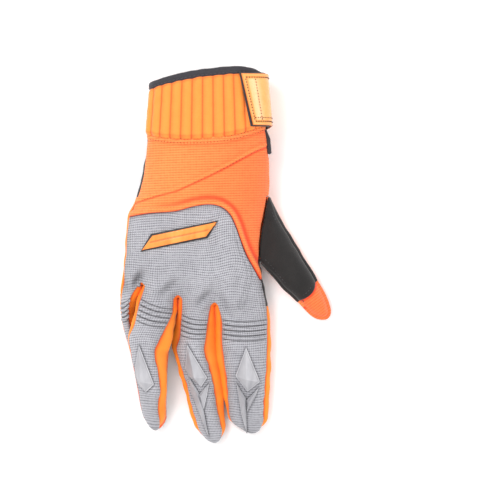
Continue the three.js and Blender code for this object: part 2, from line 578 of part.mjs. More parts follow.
// The whole border from the cuff on the little finger side, round each finger and the thumb,
// to the cuff on the thumb side: a top seam, a palm seam, the way out and the puff at each step.
function fingerStep(name, along, share) {
  const { top, below, puff } = digits[name];
  const side = Math.sign(share) || 1;
  return {
    top: top(along, side),
    below: below(along, side),
    out: along === 0 ? point(side, 0, 0) : outwardAt(name, along, side),
    puff: puff(along, side) * (along === 1 ? 0.7 : 1),
  };
}
const fingerBorder = (name, side) => digits[name].stations.map((along) => fingerStep(name, along, side));
function handStep(side, y) {
  const x = handEdge(side, y);
  return {
    top: point(x, y, handTop(x, y)),
    below: palmEdge(side, y),
    out: side < 0 ? leftward : rightward,
    puff: mix(0.75, 1.1, nearCuff(y)) * sidePuff,
  };
}
const handBorder = (side, fromRow, toRow) =>
  palmRows.slice(fromRow, toRow + 1).map((share, i) => handStep(side, handStation(side, fromRow + i)));
function crotchStep(leftName, rightName) {
  const [a, b] = [digits[leftName], digits[rightName]];
  const at = (surface) => a[surface](0, 1).lerp(b[surface](0, -1), 0.5);
  const top = at("top");
  top.y += notchWidth * 0.45;
  top.z = handTop(top.x, top.y);
  const below = at("below").add(point(0, 0, 0.9));
  return { top, below, out: point(0, -1, 0), puff: 0.5 };
}
// A wall panel along part of the border, its long edges clear of the panels above and below it.
function wall(path) {
  const trimmed = path.map((step) => ({ ...step }));
  for (const [end, next] of [[0, 1], [path.length - 1, path.length - 2]])
    for (const edge of ["top", "below"]) {
      const run = path[next][edge].clone().sub(path[end][edge]).setLength(seamGap / 2);
      trimmed[end][edge] = path[end][edge].clone().add(run);
    }
  const last = trimmed.length - 1;
  const columns = trimmed.map((step, k) => wallColumn(step, k === 0 || k === last));
  return new Skin().grid(columns).facing(nearestWay(trimmed)).thickened(wallThickness);
}
// A wall's points from its top seam to its palm seam. At a wall's end the whole column leans
// straight out, so that two walls end side by side.
function wallColumn(step, isEnd = false) {
  const { top, below, out, puff } = step;
  const inset = seamGap / top.distanceTo(below);
  return steps(wallSteps, inset, 1 - inset).map((share, i) => {
    const p = top.clone().lerp(below, share).addScaledVector(out, puff * Math.sin(Math.PI * share));
    if (isEnd || i === 0 || i === wallSteps) p.lean = seamLean(step, 1 - (2 * i) / wallSteps);
    return p;
  });
}
const nearestWay = (path) => (middle) => {
  const near = (step) => step.top.distanceToSquared(middle) + step.below.distanceToSquared(middle);
  return path.reduce((best, step) => (near(step) < near(best) ? step : best)).out;
};

// The palm: the same comb below, lying on the table.
function palm() {
  const skin = new Skin();
  const line = order.flatMap((name) => acrossSteps(palmColumns).map((across) => digits[name].below(0, across)));
  for (const k of [3, 2, 1]) {
    const at = k * (palmColumns + 1);
    const middle = line[at - 1].clone().lerp(line[at], 0.5);
    middle.lean = seamLean(crotchStep(order[k - 1], order[k]), -1);
    line.splice(at, 0, middle);
  }
  const last = line.length - 1;
  const rows = palmRows.map((v, row) =>
    line.map((root, i) => {
      if (v === 0) return root;
      const u = i / last;
      const onEdge = i === 0 || i === last;
      const side = i === 0 ? -1 : 1;
      const station = handStation(side, row);
      const turn = mix(Math.PI + palmTurn, 2 * Math.PI - palmTurn, u);
      const y = onEdge ? palmEdge(side, station).y : mix(root.y, cuffSeam(turn) - seamGap, v);
      const [low, high] = [-1, 1].map((edge) => palmEdge(edge, onEdge ? station : y + 3 * nearCuff(y)));
      const x = mix(root.x, mix(low.x, high.x, u), onEdge ? 1 : ease(v, 0, 0.2));
      const across = Math.min(1, Math.abs((2 * x - low.x - high.x) / (high.x - low.x)));
      const edge = across ** mix(8, 3, nearCuff(y));
      const p = point(x, y, mix(palmFloor(y), mix(low.z, high.z, 0.5), edge));
      if (onEdge) p.lean = seamLean(handStep(side, station), -1);
      return p;
    }),
  );
  skin.grid(rows);
  for (const name of order) {
    const { below, stations } = digits[name];
    skin.grid(
      [...stations].reverse().map((along) =>
        acrossSteps(palmColumns).map((across) => {
          const p = below(along, across);
          if (Math.abs(across) === 1 || along === 1) p.lean = seamLean(fingerStep(name, along, across), -1);
          return p;
        }),
      ),
    );
  }
  return skin.facing(() => point(0, 0, -1)).thickened(palmThickness);
}

// Where the thumb's walls meet the hand's: at a sharp notch towards the fingers, nearly straight towards the cuff.
const webCorner = { out: point(0.3, -0.95, 0).normalize(), puff: 0.15 };
const wristCorner = { out: point(0.95, 0.3, 0).normalize(), puff: 0.75 };
// The thumb: a patch above, a gusset round below it, and a cap at the tip.
function thumbSection(along, across = 5) {
  const { top, below } = digits.thumb;
  const wallOf = (side) => {
    const corner = side < 0 ? webCorner : wristCorner;
    const out = corner.out.clone().lerp(outwardAt("thumb", along, side), ease(along, 0, 0.15)).normalize();
    const puff = mix(corner.puff, 0.8, ease(along, 0, 0.2)) * sidePuff;
    return wallColumn({ top: top(along, side), below: below(along, side), out, puff });
  };
  return {
    above: acrossSteps(across).map((share) => {
      const p = top(along, share);
      if (Math.abs(share) === 1) p.lean = wallOf(share)[0].lean;
      else if (along === 0) p.lean = up();
      return p;
    }),
    inner: wallOf(-1),
    beneath: acrossSteps(across).map((share) => below(along, share)),
    outer: wallOf(1),
  };
}
const awayFromThumb = (middle) => {
  const [a, b] = [digits.thumb.top(0.5, 0), digits.thumb.top(1, 0)];
  a.add(digits.thumb.below(0.5, 0)).divideScalar(2);
  b.add(digits.thumb.below(1, 0)).divideScalar(2);
  const axis = b.clone().sub(a).normalize();
  const reach = Math.min(b.distanceTo(a) * 0.9, middle.clone().sub(a).dot(axis));
  return middle.clone().sub(a.addScaledVector(axis, reach));
};
const thumbRowShares = [0, 0.05, 0.11, ...steps(5, 0.2, thumbTipStart - 0.008)];
const thumbPatch = () =>
  new Skin().grid(thumbRowShares.map((along) => thumbSection(along).above)).facing(up).thickened(wallThickness);
const thumbGusset = () =>
  new Skin()
    .grid(
      thumbRowShares.map((along) => {
        const { inner, beneath, outer } = thumbSection(along);
        return [...inner.slice(0, -1), ...beneath, ...outer.slice(0, -1).reverse()];
      }),
    )
    .facing(awayFromThumb)
    .thickened(wallThickness);
const thumbTip = () =>
  new Skin()
    .grid(
      alongSteps(2, 4, thumbRoundTip, thumbTipStart).map((along) => {
        const { above, inner, beneath, outer } = thumbSection(along);
        return [...above, ...outer.slice(1, -1), ...beneath.reverse(), ...inner.slice(1, -1).reverse(), above[0]];
      }),
    )
    .facing(awayFromThumb)
    .thickened(wallThickness);

add("back_mesh", meshBack(), meshOrange);
add("back_knit", knitBack(), knitGrey);
add("palm", palm(), suedeBlack);
const side = (name, share) => fingerBorder(name, share);
const tipToRoot = (name) => side(name, 1).reverse();
const lastRow = palmRows.length - 1;
add("heel_side", wall(handBorder(-1, heelRow, lastRow)), suedeBlack);
add(
  "side_gusset",
  wall([...handBorder(-1, 1, heelRow).reverse(), ...side("pinky", -1)]),
  wallOrange,
);
for (const [left, right] of [["pinky", "ring"], ["ring", "middle"], ["middle", "index"]])
  add(
    `fourchette_${left}_${right}`,
    wall([...tipToRoot(left), crotchStep(left, right), ...side(right, -1)]),
    wallOrange,
  );
add("index_side", wall(tipToRoot("index")), wallOrange);
const webPath = handBorder(1, 0, webRow).map((step, i) =>
  i < webRow ? step : { ...step, out: webCorner.out, puff: webCorner.puff * sidePuff },
);
add("web_wall", wall(webPath), trimBlack);
const wristPath = handBorder(1, wristRow, lastRow).map((step, i) => (i ? step : { ...step, out: wristCorner.out }));
add("wrist_side", wall(wristPath), meshOrange);
add("thumb_patch", thumbPatch(), suedeBlack);
add("thumb_gusset", thumbGusset(), meshOrange);
add("thumb_tip", thumbTip(), meshOrange);


// The ribbed cuff and the tape round its upper edge.
function cuffBand() {
  const turns = steps(cuffRibs * 2, 0, 2 * Math.PI);
  const rows = [0, 0.14, 0.36, 0.6, 0.84, 1].map((along) =>
    turns.map((turn, i) => {
      const p = cuffPoint(turn, along, 0);
      if (i % 2) p.lift = ribHeight;
      return p;
    }),
  );
  return new Skin().grid(rows).facing(awayFromCuff).thickened(cuffThickness);
}
const awayFromCuff = (middle) => middle.clone().sub(cuffCentre()).setY(0);
// A solid swept through rings of points, its ends capped, or joined into a loop.
function swept(rings, isLoop = false) {
  const skin = new Skin();
  const closedRings = rings.map((ring) => [...ring, ring[0]]);
  skin.grid(isLoop ? [...closedRings, closedRings[0]] : closedRings);
  if (!isLoop)
    for (const [ring, turned] of [[rings[0], false], [rings[rings.length - 1], true]])
      for (let i = 1; i + 1 < ring.length; i++)
        skin.triangle(ring[0], turned ? ring[i] : ring[i + 1], turned ? ring[i + 1] : ring[i]);
  const geometry = geometryOf(skin.points, skin.faces);
  if (signedVolume(geometry) < 0) return geometryOf(skin.points, skin.faces.map(([a, b, c]) => [a, c, b]));
  return geometry;
}
function signedVolume(geometry) {
  const corner = (i) => new THREE.Vector3().fromBufferAttribute(geometry.attributes.position, geometry.index.getX(i));
  let volume = 0;
  for (let i = 0; i < geometry.index.count; i += 3) volume += corner(i).dot(corner(i + 1).cross(corner(i + 2)));
  return volume;
}
function cuffBinding() {
  return swept(
    steps(30, 0, 2 * Math.PI).slice(0, -1).map((turn) => {
      const centre = cuffPoint(turn, 1, -cuffThickness / 2);
      centre.y += bindingLength / 2 + seamGap;
      const across = cuffPoint(turn, 1, 1).sub(cuffPoint(turn, 1, 0)).setY(0).normalize();
      return steps(8, 0, 2 * Math.PI).slice(0, -1).map((bend) =>
        centre
          .clone()
          .addScaledVector(across, (bindingThickness / 2) * Math.cos(bend))
          .add(point(0, (bindingLength / 2) * Math.sin(bend), 0)),
      );
    }),
    true,
  );
}

// The strap, from the back round the thumb side to the palm: turn in degrees round the cuff, the
// centre as a share of cuffLength over the hand, and the width as a share of strapWidth.
const strapRows = [
  { along: 0, turn: 53, centre: 0.615, width: 1 },
  { along: 0.32, turn: -5, centre: 0.6, width: 1 },
  { along: 0.6, turn: -53, centre: 0.44, width: 0.96 },
  { along: 0.84, turn: -95, centre: 0.28, width: 0.9 },
  { along: 1, turn: -123, centre: 0.2, width: 0.86 },
];
const strapSlant = 6; // degrees that its start leans back at the top
const strapRoundEnd = 0.9;
function strapSheet(margin, out, thickness) {
  const roundSteps = [...steps(12, 0, strapRoundEnd), 0.93, 0.96, 0.982, 0.998];
  const rows = roundSteps.map((along) => {
    const reach = Math.min(1, (1 - along) / (1 - strapRoundEnd));
    const narrow = Math.sqrt(Math.max(0.02, 1 - (1 - reach) ** 2));
    return [-1, -0.75, 0, 0.75, 1].map((across) => {
      const half = ((column(strapRows, "width", along) * strapWidth) / 2 + margin) * narrow;
      const y = handLength + column(strapRows, "centre", along) * cuffLength + across * half;
      const slant = across * strapSlant * (1 - ease(along, 0, 0.3));
      const ends = (margin / 0.7) * (along === 0 ? 1.2 : along > 0.99 ? -1.2 : 0);
      const turn = THREE.MathUtils.degToRad(column(strapRows, "turn", along) + slant + ends);
      const share = (y - cuffSeam(turn)) / (cuffEdge(turn) - cuffSeam(turn));
      return cuffPoint(turn, share, out);
    });
  });
  return new Skin().grid(rows).facing(awayFromCuff).thickened(thickness);
}

// Rubber pads on the finger backs: rows along a finger and from side to side across it.
const pads = {
  pad_index: {
    finger: "index",
    rows: [
      { along: 0.32, left: 0.06, right: 0.07 },
      { along: 0.39, left: -0.11, right: 0.21 },
      { along: 0.46, left: -0.3, right: 0.38 },
      { along: 0.54, left: -0.52, right: 0.59 },
      { along: 0.589, left: -0.31, right: 0.72 },
      { along: 0.629, left: -0.12, right: 0.4 },
      { along: 0.664, left: 0.06, right: 0.08 },
    ],
  },
  pad_middle: {
    finger: "middle",
    rows: [
      { along: 0.298, left: -0.32, right: -0.3 },
      { along: 0.352, left: -0.36, right: 0.09 },
      { along: 0.409, left: -0.51, right: 0.28 },
      { along: 0.469, left: -0.7, right: 0.46 },
      { along: 0.53, left: -0.5, right: 0.66 },
      { along: 0.563, left: -0.2, right: 0.38 },
      { along: 0.592, left: 0.06, right: 0.1 },
    ],
  },
  pad_ring: {
    finger: "ring",
    rows: [
      { along: 0.38, left: -0.25, right: -0.22 },
      { along: 0.448, left: -0.46, right: 0.02 },
      { along: 0.52, left: -0.7, right: 0.15 },
      { along: 0.582, left: -0.82, right: 0.29 },
      { along: 0.655, left: -0.72, right: 0.48 },
      { along: 0.69, left: -0.5, right: 0.1 },
      { along: 0.716, left: -0.32, right: -0.28 },
    ],
  },
  blade_index_long: {
    finger: "index",
    rows: [
      { along: 0.604, left: -0.5, right: -0.47 },
      { along: 0.66, left: -0.45, right: -0.27 },
      { along: 0.72, left: -0.4, right: -0.03 },
      { along: 0.84, left: -0.32, right: -0.04 },
      { along: 0.92, left: -0.24, right: -0.05 },
      { along: 0.965, left: -0.13, right: -0.1 },
    ],
  },
  blade_index_short: {
    finger: "index",
    rows: [
      { along: 0.637, left: 0.64, right: 0.67 },
      { along: 0.672, left: 0.44, right: 0.58 },
      { along: 0.705, left: 0.22, right: 0.5 },
      { along: 0.738, left: 0.05, right: 0.39 },
      { along: 0.781, left: 0.05, right: 0.21 },
      { along: 0.825, left: 0.05, right: 0.08 },
    ],
  },
  blade_middle_long: {
    finger: "middle",
    rows: [
      { along: 0.54, left: -0.66, right: -0.62 },
      { along: 0.586, left: -0.7, right: -0.44 },
      { along: 0.638, left: -0.74, right: -0.25 },
      { along: 0.7, left: -0.64, right: -0.2 },
      { along: 0.771, left: -0.52, right: -0.2 },
      { along: 0.863, left: -0.45, right: -0.24 },
      { along: 0.945, left: -0.42, right: -0.38 },
    ],
  },
  blade_middle_short: {
    finger: "middle",
    rows: [
      { along: 0.6, left: 0.6, right: 0.64 },
      { along: 0.624, left: 0.2, right: 0.56 },
      { along: 0.662, left: -0.16, right: 0.37 },
      { along: 0.707, left: -0.1, right: 0.16 },
      { along: 0.75, left: -0.06, right: -0.03 },
    ],
  },
};
function surfaceNormal(surface, along, across) {
  const [a, b] = [surface(Math.max(0, along - 0.01), across), surface(along + 0.01, across)];
  const [c, d] = [surface(along, across - 0.06), surface(along, across + 0.06)];
  const normal = b.sub(a).cross(d.sub(c)).normalize();
  return normal.z < 0 ? normal.negate() : normal;
}
function pad({ finger, rows }) {
  const { top } = digits[finger];
  const widest = Math.max(...rows.map(({ left, right }) => right - left));
  const grid = rows.map(({ along, left, right }) =>
    [0, 0.25, 0.5, 0.75, 1].map((share) => {
      const across = mix(left, right, share);
      const p = top(along, across).addScaledVector(surfaceNormal(top, along, across), padClearance + padRim);
      p.lift = padHeight * (1 - Math.abs(2 * share - 1)) * Math.min(1, (right - left) / (0.6 * widest));
      return p;
    }),
  );
  return new Skin().grid(grid).facing(up).thickened(padRim);
}

// A plain slanted badge on the back of the hand, and the tape along the wrist's slit.
function badgePlate(margin, clearance, thickness) {
  const rows = steps(2, -0.5, 0.5).map((down) =>
    steps(8, -0.5, 0.5).map((across) => {
      const x = badgeCentre.x * handWidth + across * (badgeLength - margin) - down * badgeWidth * 0.6;
      const y = badgeCentre.y * handLength - down * (badgeWidth - margin) + across * badgeLength * badgeRise;
      return point(x, y, handTop(x, y) + clearance + thickness);
    }),
  );
  return new Skin().grid(rows).facing(up).thickened(thickness);
}
function slitBinding() {
  const run = steps(7, 0.885, 1.04).map((share) => {
    const y = share * handLength;
    const step = handStep(1, y);
    return step.top.addScaledVector(seamLean(step, 1), pipingRadius + liftGap);
  });
  return swept(
    run.map((centre) =>
      steps(6, 0, 2 * Math.PI).slice(0, -1).map((bend) =>
        point(pipingRadius * Math.cos(bend), 0, pipingRadius * Math.sin(bend)).add(centre),
      ),
    ),
  );
}

add("cuff_band", cuffBand(), ribOrange);
add("cuff_binding", cuffBinding(), trimBlack);
const backingOut = ribHeight + liftGap + backingThickness;
add("strap_backing", strapSheet(backingMargin, backingOut, backingThickness), trimBlack);
add("strap_leather", strapSheet(0, backingOut + liftGap + strapThickness, strapThickness), strapOrange);
add("slit_binding", slitBinding(), trimBlack);
add("badge_base", badgePlate(0, badgeClearance, badgeThickness), trimBlack);
const faceClearance = badgeClearance + badgeThickness + liftGap;
add("badge_face", badgePlate(2 * badgeRim, faceClearance, badgeThickness), wallOrange);
for (const [name, shape] of Object.entries(pads)) add(name, pad(shape), padGrey);

// The origin goes under the middle of the whole glove.
const whole = new THREE.Box3().setFromObject(body);
const middle = whole.getCenter(point(0, 0, 0));
body.position.set(-middle.x, -middle.y, -whole.min.z);

export default glove;
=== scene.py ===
import math

import bpy
import numpy as np
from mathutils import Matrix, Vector, kdtree
from mathutils.bvhtree import BVHTree


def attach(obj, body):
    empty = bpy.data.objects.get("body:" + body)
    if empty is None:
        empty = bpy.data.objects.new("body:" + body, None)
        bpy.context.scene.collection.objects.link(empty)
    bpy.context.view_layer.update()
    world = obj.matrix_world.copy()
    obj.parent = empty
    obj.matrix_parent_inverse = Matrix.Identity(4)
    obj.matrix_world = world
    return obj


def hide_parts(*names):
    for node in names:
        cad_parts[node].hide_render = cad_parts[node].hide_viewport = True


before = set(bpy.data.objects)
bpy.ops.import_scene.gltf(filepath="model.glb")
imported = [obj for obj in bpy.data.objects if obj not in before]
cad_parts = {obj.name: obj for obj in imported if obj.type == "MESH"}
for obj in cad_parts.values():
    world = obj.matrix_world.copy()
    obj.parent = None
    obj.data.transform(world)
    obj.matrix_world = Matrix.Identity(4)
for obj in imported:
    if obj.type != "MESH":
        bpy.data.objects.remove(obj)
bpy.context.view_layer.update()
print("frame loaded")

# Named sizes, as in the source
handWidth = 92
handLength = 102
handHeight = 18
fingerHeight = 18
thumbLength = 71
thumbWidth = 24
cuffLength = 36
cuffHalfWidth = 35
cuffDip = 5
cuffHalfHeight = 15.5
cuffRibs = 26
ribHeight = 0.8
cuffThickness = 1.8
bindingLength = 4.6
bindingThickness = 3.4
strapWidth = 32
strapThickness = 1.2
backingThickness = 1.0
backingMargin = 0.7
sidePuff = 2.6
crotchDepth = 6.5
crotchWidth = 5.2
notchWidth = 5
padRim = 0.7
padClearance = 0.5
badgeLength = 42
badgeWidth = 11
badgeThickness = 1.0
pipingRadius = 1.3
seamGap = 0.5
liftGap = 0.5
sourceMove = np.array([-18.4528, -26.8013, 0.0])

# The hand's shape as in the source, in shares of its width, height and length.
# Each column is read at a share along its rows, as a smooth curve.
handRows = dict(
    along=[-0.08, -0.02, 0.06, 0.245, 0.4, 0.515, 0.613, 0.705, 0.8, 0.9, 1.1],
    pinkySide=[-0.507, -0.507, -0.5, -0.477, -0.464, -0.449, -0.4, -0.37, -0.348, -0.332, -0.325],
    thumbSide=[0.475, 0.476, 0.455, 0.428, 0.44, 0.464, 0.48, 0.488, 0.49, 0.488, 0.468],
    pinkyZ=[0.25, 0.32, 0.42, 0.56, 0.62, 0.66, 0.74, 0.82, 0.92, 1, 1.05],
    thumbZ=[0.7, 0.72, 0.72, 0.72, 0.72, 0.74, 0.8, 0.86, 0.94, 1, 1.05],
    crown=[0.66, 0.78, 0.88, 0.98, 1.02, 1.02, 1, 0.96, 0.9, 0.86, 0.84],
)

# Each finger: its two sides above and below, its floor, its seams' heights, its crown and its swell
fingers = dict(
    pinky=dict(
        length=65,
        start=0,
        roundTip=0.88,
        rows=dict(
            along=[0, 0.12, 0.28, 0.42, 0.55, 0.7, 0.85, 1],
            left=[-0.507, -0.508, -0.503, -0.482, -0.455, -0.418, -0.383, -0.337],
            right=[-0.394, -0.448, -0.456, -0.432, -0.398, -0.35, -0.305, -0.262],
            leftBelow=[-0.483, -0.49, -0.492, -0.474, -0.448, -0.412, -0.378, -0.333],
            rightBelow=[-0.387, -0.392, -0.392, -0.37, -0.34, -0.305, -0.278, -0.252],
            floor=[0, 0, 0, 0, 0, 0, 0, 0],
            leftZ=[0.34, 0.36, 0.36, 0.36, 0.36, 0.36, 0.34, 0.3],
            rightZ=[0.8, 0.66, 0.56, 0.5, 0.48, 0.44, 0.4, 0.33],
            crown=[0.3, 0.24, 0.18, 0.14, 0.12, 0.1, 0.1, 0.08],
            leftPuff=[0.75, 0.5, 0.2, 0.1, 0.1, 0.1, 0.1, 0.1],
            rightPuff=[0.6, 0.5, 0.3, 0.2, 0.2, 0.2, 0.3, 0.3],
        ),
    ),
    ring=dict(
        length=86,
        start=1,
        roundTip=0.9,
        rows=dict(
            along=[0, 0.12, 0.25, 0.34, 0.42, 0.55, 0.7, 0.85, 1],
            left=[-0.346, -0.388, -0.414, -0.452, -0.445, -0.42, -0.394, -0.37, -0.33],
            right=[-0.149, -0.16, -0.212, -0.25, -0.278, -0.258, -0.241, -0.256, -0.225],
            leftBelow=[-0.338, -0.358, -0.4, -0.434, -0.43, -0.402, -0.376, -0.352, -0.32],
            rightBelow=[-0.136, -0.15, -0.166, -0.178, -0.188, -0.198, -0.202, -0.207, -0.205],
            floor=[0, 0.32, 0.56, 0.57, 0.57, 0.56, 0.5, 0.24, 0.02],
            leftZ=[0.85, 0.96, 1.02, 1.02, 1, 0.98, 0.92, 0.62, 0.34],
            rightZ=[0.85, 1.1, 1.24, 1.24, 1.22, 1.18, 1.06, 0.8, 0.42],
            crown=[0.4, 0.42, 0.4, 0.38, 0.36, 0.34, 0.32, 0.3, 0.25],
            leftPuff=[0.3, 1, 1, 0.5, 0.2, 0.1, 0.1, 0.1, 0.1],
            rightPuff=[0.7, 0.9, 0.9, 0.9, 0.9, 0.8, 0.8, 0.7, 0.4],
        ),
    ),
    middle=dict(
        length=88,
        start=2,
        roundTip=0.87,
        rows=dict(
            along=[0, 0.12, 0.26, 0.34, 0.45, 0.6, 0.78, 1],
            left=[-0.095, -0.099, -0.109, -0.132, -0.102, -0.06, -0.018, 0.045],
            right=[0.102, 0.085, 0.065, 0.058, 0.09, 0.122, 0.15, 0.205],
            leftBelow=[-0.095, -0.1, -0.112, -0.124, -0.106, -0.068, -0.026, 0.041],
            rightBelow=[0.115, 0.128, 0.136, 0.14, 0.152, 0.166, 0.184, 0.205],
            floor=[0, 0.02, 0.06, 0.07, 0.07, 0.05, 0.02, 0],
            leftZ=[0.85, 0.72, 0.6, 0.56, 0.54, 0.5, 0.44, 0.3],
            rightZ=[0.85, 0.82, 0.82, 0.82, 0.78, 0.7, 0.56, 0.34],
            crown=[0.4, 0.46, 0.46, 0.45, 0.43, 0.4, 0.36, 0.3],
            leftPuff=[0.8, 1.2, 1.2, 0.8, 0.8, 0.7, 0.6, 0.3],
            rightPuff=[0.5, 0.5, 0.5, 0.5, 0.5, 0.6, 0.7, 0.7],
        ),
    ),
    index=dict(
        length=80,
        start=3,
        roundTip=0.87,
        rows=dict(
            along=[0, 0.1, 0.3, 0.5, 0.7, 0.87, 1],
            left=[0.156, 0.173, 0.177, 0.2, 0.217, 0.228, 0.29],
            right=[0.481, 0.486, 0.486, 0.478, 0.466, 0.462, 0.47],
            leftBelow=[0.163, 0.175, 0.175, 0.198, 0.22, 0.232, 0.29],
            rightBelow=[0.454, 0.466, 0.476, 0.472, 0.464, 0.46, 0.466],
            floor=[0, 0, 0.04, 0.05, 0.03, 0.01, 0],
            leftZ=[0.85, 0.72, 0.6, 0.56, 0.5, 0.42, 0.32],
            rightZ=[0.72, 0.66, 0.58, 0.55, 0.5, 0.42, 0.32],
            crown=[0.5, 0.5, 0.46, 0.43, 0.4, 0.36, 0.32],
            leftPuff=[0.8, 1.1, 1.2, 1.1, 0.7, 0.4, 0.3],
            rightPuff=[0.75, 1, 1.1, 1.2, 1.2, 1.1, 0.8],
        ),
    ),
)

# The thumb in its own axes: how far down and across its outer and inner sides lie
thumbRows = dict(
    along=[0, 0.2, 0.4, 0.6, 0.8, 1],
    outerDown=[-0.185, -0.01, 0.22, 0.445, 0.7, 0.96],
    innerDown=[0.228, 0.375, 0.525, 0.67, 0.86, 1],
    outerAcross=[0.52, 0.42, 0.36, 0.31, 0.26, 0.22],
    innerAcross=[-0.58, -0.49, -0.45, -0.37, -0.28, -0.2],
    seamZ=[0.6, 0.5, 0.46, 0.42, 0.37, 0.28],
    crown=[0.2, 0.32, 0.38, 0.38, 0.34, 0.3],
)

# The seam between the mesh and the knit, over the back of the hand
backSeam = dict(
    along=[0, 0.15, 0.3, 0.42, 0.52, 0.6, 0.67, 0.75, 0.82, 0.89, 0.95, 1],
    across=[-0.45, -0.312, -0.136, 0, 0.102, 0.177, 0.231, 0.272, 0.306, 0.346, 0.394, 0.44],
    up=[0.515, 0.534, 0.546, 0.577, 0.586, 0.57, 0.528, 0.454, 0.368, 0.276, 0.196, 0.129],
)

# The strap: its turn round the cuff in degrees, its centre along the cuff and its width
strapRows = dict(
    along=[0, 0.32, 0.6, 0.84, 1],
    turn=[53, -5, -53, -95, -123],
    centre=[0.615, 0.6, 0.44, 0.28, 0.2],
    width=[1, 1, 0.96, 0.9, 0.86],
)

# Rubber pads: which finger, the corners in order and the high point, in mm of the source
padShapes = dict(
    pad_index=dict(
        finger="index",
        rise=2.3,
        apex=(31.4, -50.2),
        x=[31.4, 24.8, 32.2, 40.1],
        y=[-29.9, -47.8, -57.7, -51.5],
    ),
    pad_middle=dict(
        finger="middle",
        rise=2.3,
        apex=(-1.0, -49.1),
        x=[-5.4, -6.6, -4.3, 3.4, 7.2],
        y=[-28.0, -43.4, -47.8, -54.6, -48.9],
    ),
    pad_ring=dict(
        finger="ring",
        rise=2.3,
        apex=(-34.4, -51.3),
        x=[-35.1, -38.3, -35.4, -30.9, -25.8],
        y=[-28.3, -45.9, -53.4, -57.7, -52.8],
    ),
    blade_index_long=dict(
        finger="index",
        rise=1.9,
        apex=(30.4, -63.1),
        x=[25.4, 26.6, 28.5, 31.9, 31.6, 31.3],
        y=[-52.4, -59.5, -71.9, -83.9, -74.4, -62.0],
    ),
    blade_index_short=dict(
        finger="index",
        rise=1.7,
        apex=(33.0, -64.1),
        x=[39.3, 31.6, 31.9, 37.1],
        y=[-55.2, -63.3, -70.6, -60.8],
    ),
    blade_middle_long=dict(
        finger="middle",
        rise=1.9,
        apex=(1.1, -60.0),
        x=[-3.9, -3.0, 1.9, 5.6, 8.1, 5.0, 1.9],
        y=[-49.4, -58.1, -70.0, -80.6, -86.1, -70.0, -58.3],
    ),
    blade_middle_short=dict(
        finger="middle",
        rise=1.7,
        apex=(3.0, -60.9),
        x=[8.4, 1.6, 5.0, 6.9],
        y=[-52.4, -60.1, -68.8, -60.8],
    ),
)


# Interpolation and profiles
def column(rows, name, along):
    # A named column's value at a share along its rows, as a smooth curve.
    at = np.array(rows["along"], float)
    value = np.array(rows[name], float)
    slope = np.empty_like(value)
    slope[1:-1] = (value[2:] - value[:-2]) / (at[2:] - at[:-2])
    slope[0] = (value[1] - value[0]) / (at[1] - at[0])
    slope[-1] = (value[-1] - value[-2]) / (at[-1] - at[-2])
    along = np.asarray(along, float)
    i = np.clip(np.searchsorted(at, along, side="right"), 1, len(at) - 1)
    span = at[i] - at[i - 1]
    t = np.clip((along - at[i - 1]) / span, 0, 1)
    a = (2 * t**3 - 3 * t**2 + 1) * value[i - 1] + (t**3 - 2 * t**2 + t) * span * slope[i - 1]
    b = (3 * t**2 - 2 * t**3) * value[i] + (t**3 - t**2) * span * slope[i]
    return a + b


def ease(x, low, high):
    # Three t squared less two t cubed, with t the share of the way from low to high.
    t = np.clip((np.asarray(x, float) - low) / (high - low), 0, 1)
    return t * t * (3 - 2 * t)


def mix(a, b, t):
    # a, plus t times the way from a to b.
    return a + (b - a) * t


def bell(x, centre, width):
    # e to the power of minus the square of the distance from the centre over the width.
    return np.exp(-(((x - centre) / width) ** 2))


# A dome's profile over the width of a panel
domePower = 2.35
domeSquareness = 0.62


def domed(across, squareness=domeSquareness):
    # One less the distance from the middle to a power, all to the power of squareness.
    return np.clip(1 - np.abs(across) ** domePower, 0, None) ** squareness


def points(x, y, z):
    # x, y and z brought to one shape and stacked as points.
    return np.stack(np.broadcast_arrays(x, y, z), axis=-1).astype(float)


def clothPlace(across, along):
    # The cloth's own coordinates in mm, brought to one shape and paired.
    return np.stack(np.broadcast_arrays(across, along), -1)


def runAlong(p):
    # The length so far at each point of a path: the steps' lengths added up.
    return np.concatenate([[0], np.cumsum(np.linalg.norm(np.diff(p, axis=0), axis=1))])


def sameShape(along, across):
    # Both as floats, brought to one shape.
    return np.broadcast_arrays(np.asarray(along, float), np.asarray(across, float))


def unit(v):
    # Each vector divided by its own length.
    return v / np.maximum(np.linalg.norm(v, axis=-1, keepdims=True), 1e-9)


def lerp(a, b, t):
    # For points: a, plus t times the way from a to b.
    return a + (b - a) * np.asarray(t, float)[..., None]


def place(p):
    # Moved to the frame's origin, then divided from millimetres into metres.
    return (p + sourceMove) / 1000


# The hand's surfaces
def hand(name, y):
    # One of the hand's columns, read at y as a share of the hand's length.
    return column(handRows, name, np.asarray(y, float) / handLength)


def nearCuff(y):
    # A soft step that starts at 0.78 of the hand's length and is 1 at the cuff.
    return ease(y, 0.78 * handLength, handLength)


def handEdge(side, y):
    # The side's column at y, times the hand's width.
    return hand("pinkySide" if side < 0 else "thumbSide", y) * handWidth


knuckleAcross = np.array([-0.507, -0.367, -0.122, 0.129, 0.481]) * handWidth
knuckleAlong = np.array([0.03, 0.08, 0.0, -0.043, -0.043]) * handLength


# How the cuff's seam and edge lean and bow round the wrist, in mm
cuffCurve = dict(seamLean=3, seamBow=5.5, edgeLean=5.4, edgeBow=2.5)


def cuffSeam(turn):
    # The hand's length, plus the lean times the cosine and the bow times its square.
    return handLength + cuffCurve["seamLean"] * np.cos(turn) + cuffCurve["seamBow"] * np.cos(turn) ** 2


def cuffEdge(turn):
    # The seam a cuff's length further on, dipped by the fourth power of the cosine.
    dip = cuffDip * np.maximum(0, np.cos(turn)) ** 4
    lean, bow = cuffCurve["edgeLean"] * np.cos(turn), cuffCurve["edgeBow"] * np.cos(turn) ** 2
    return handLength + cuffLength + lean - bow - dip


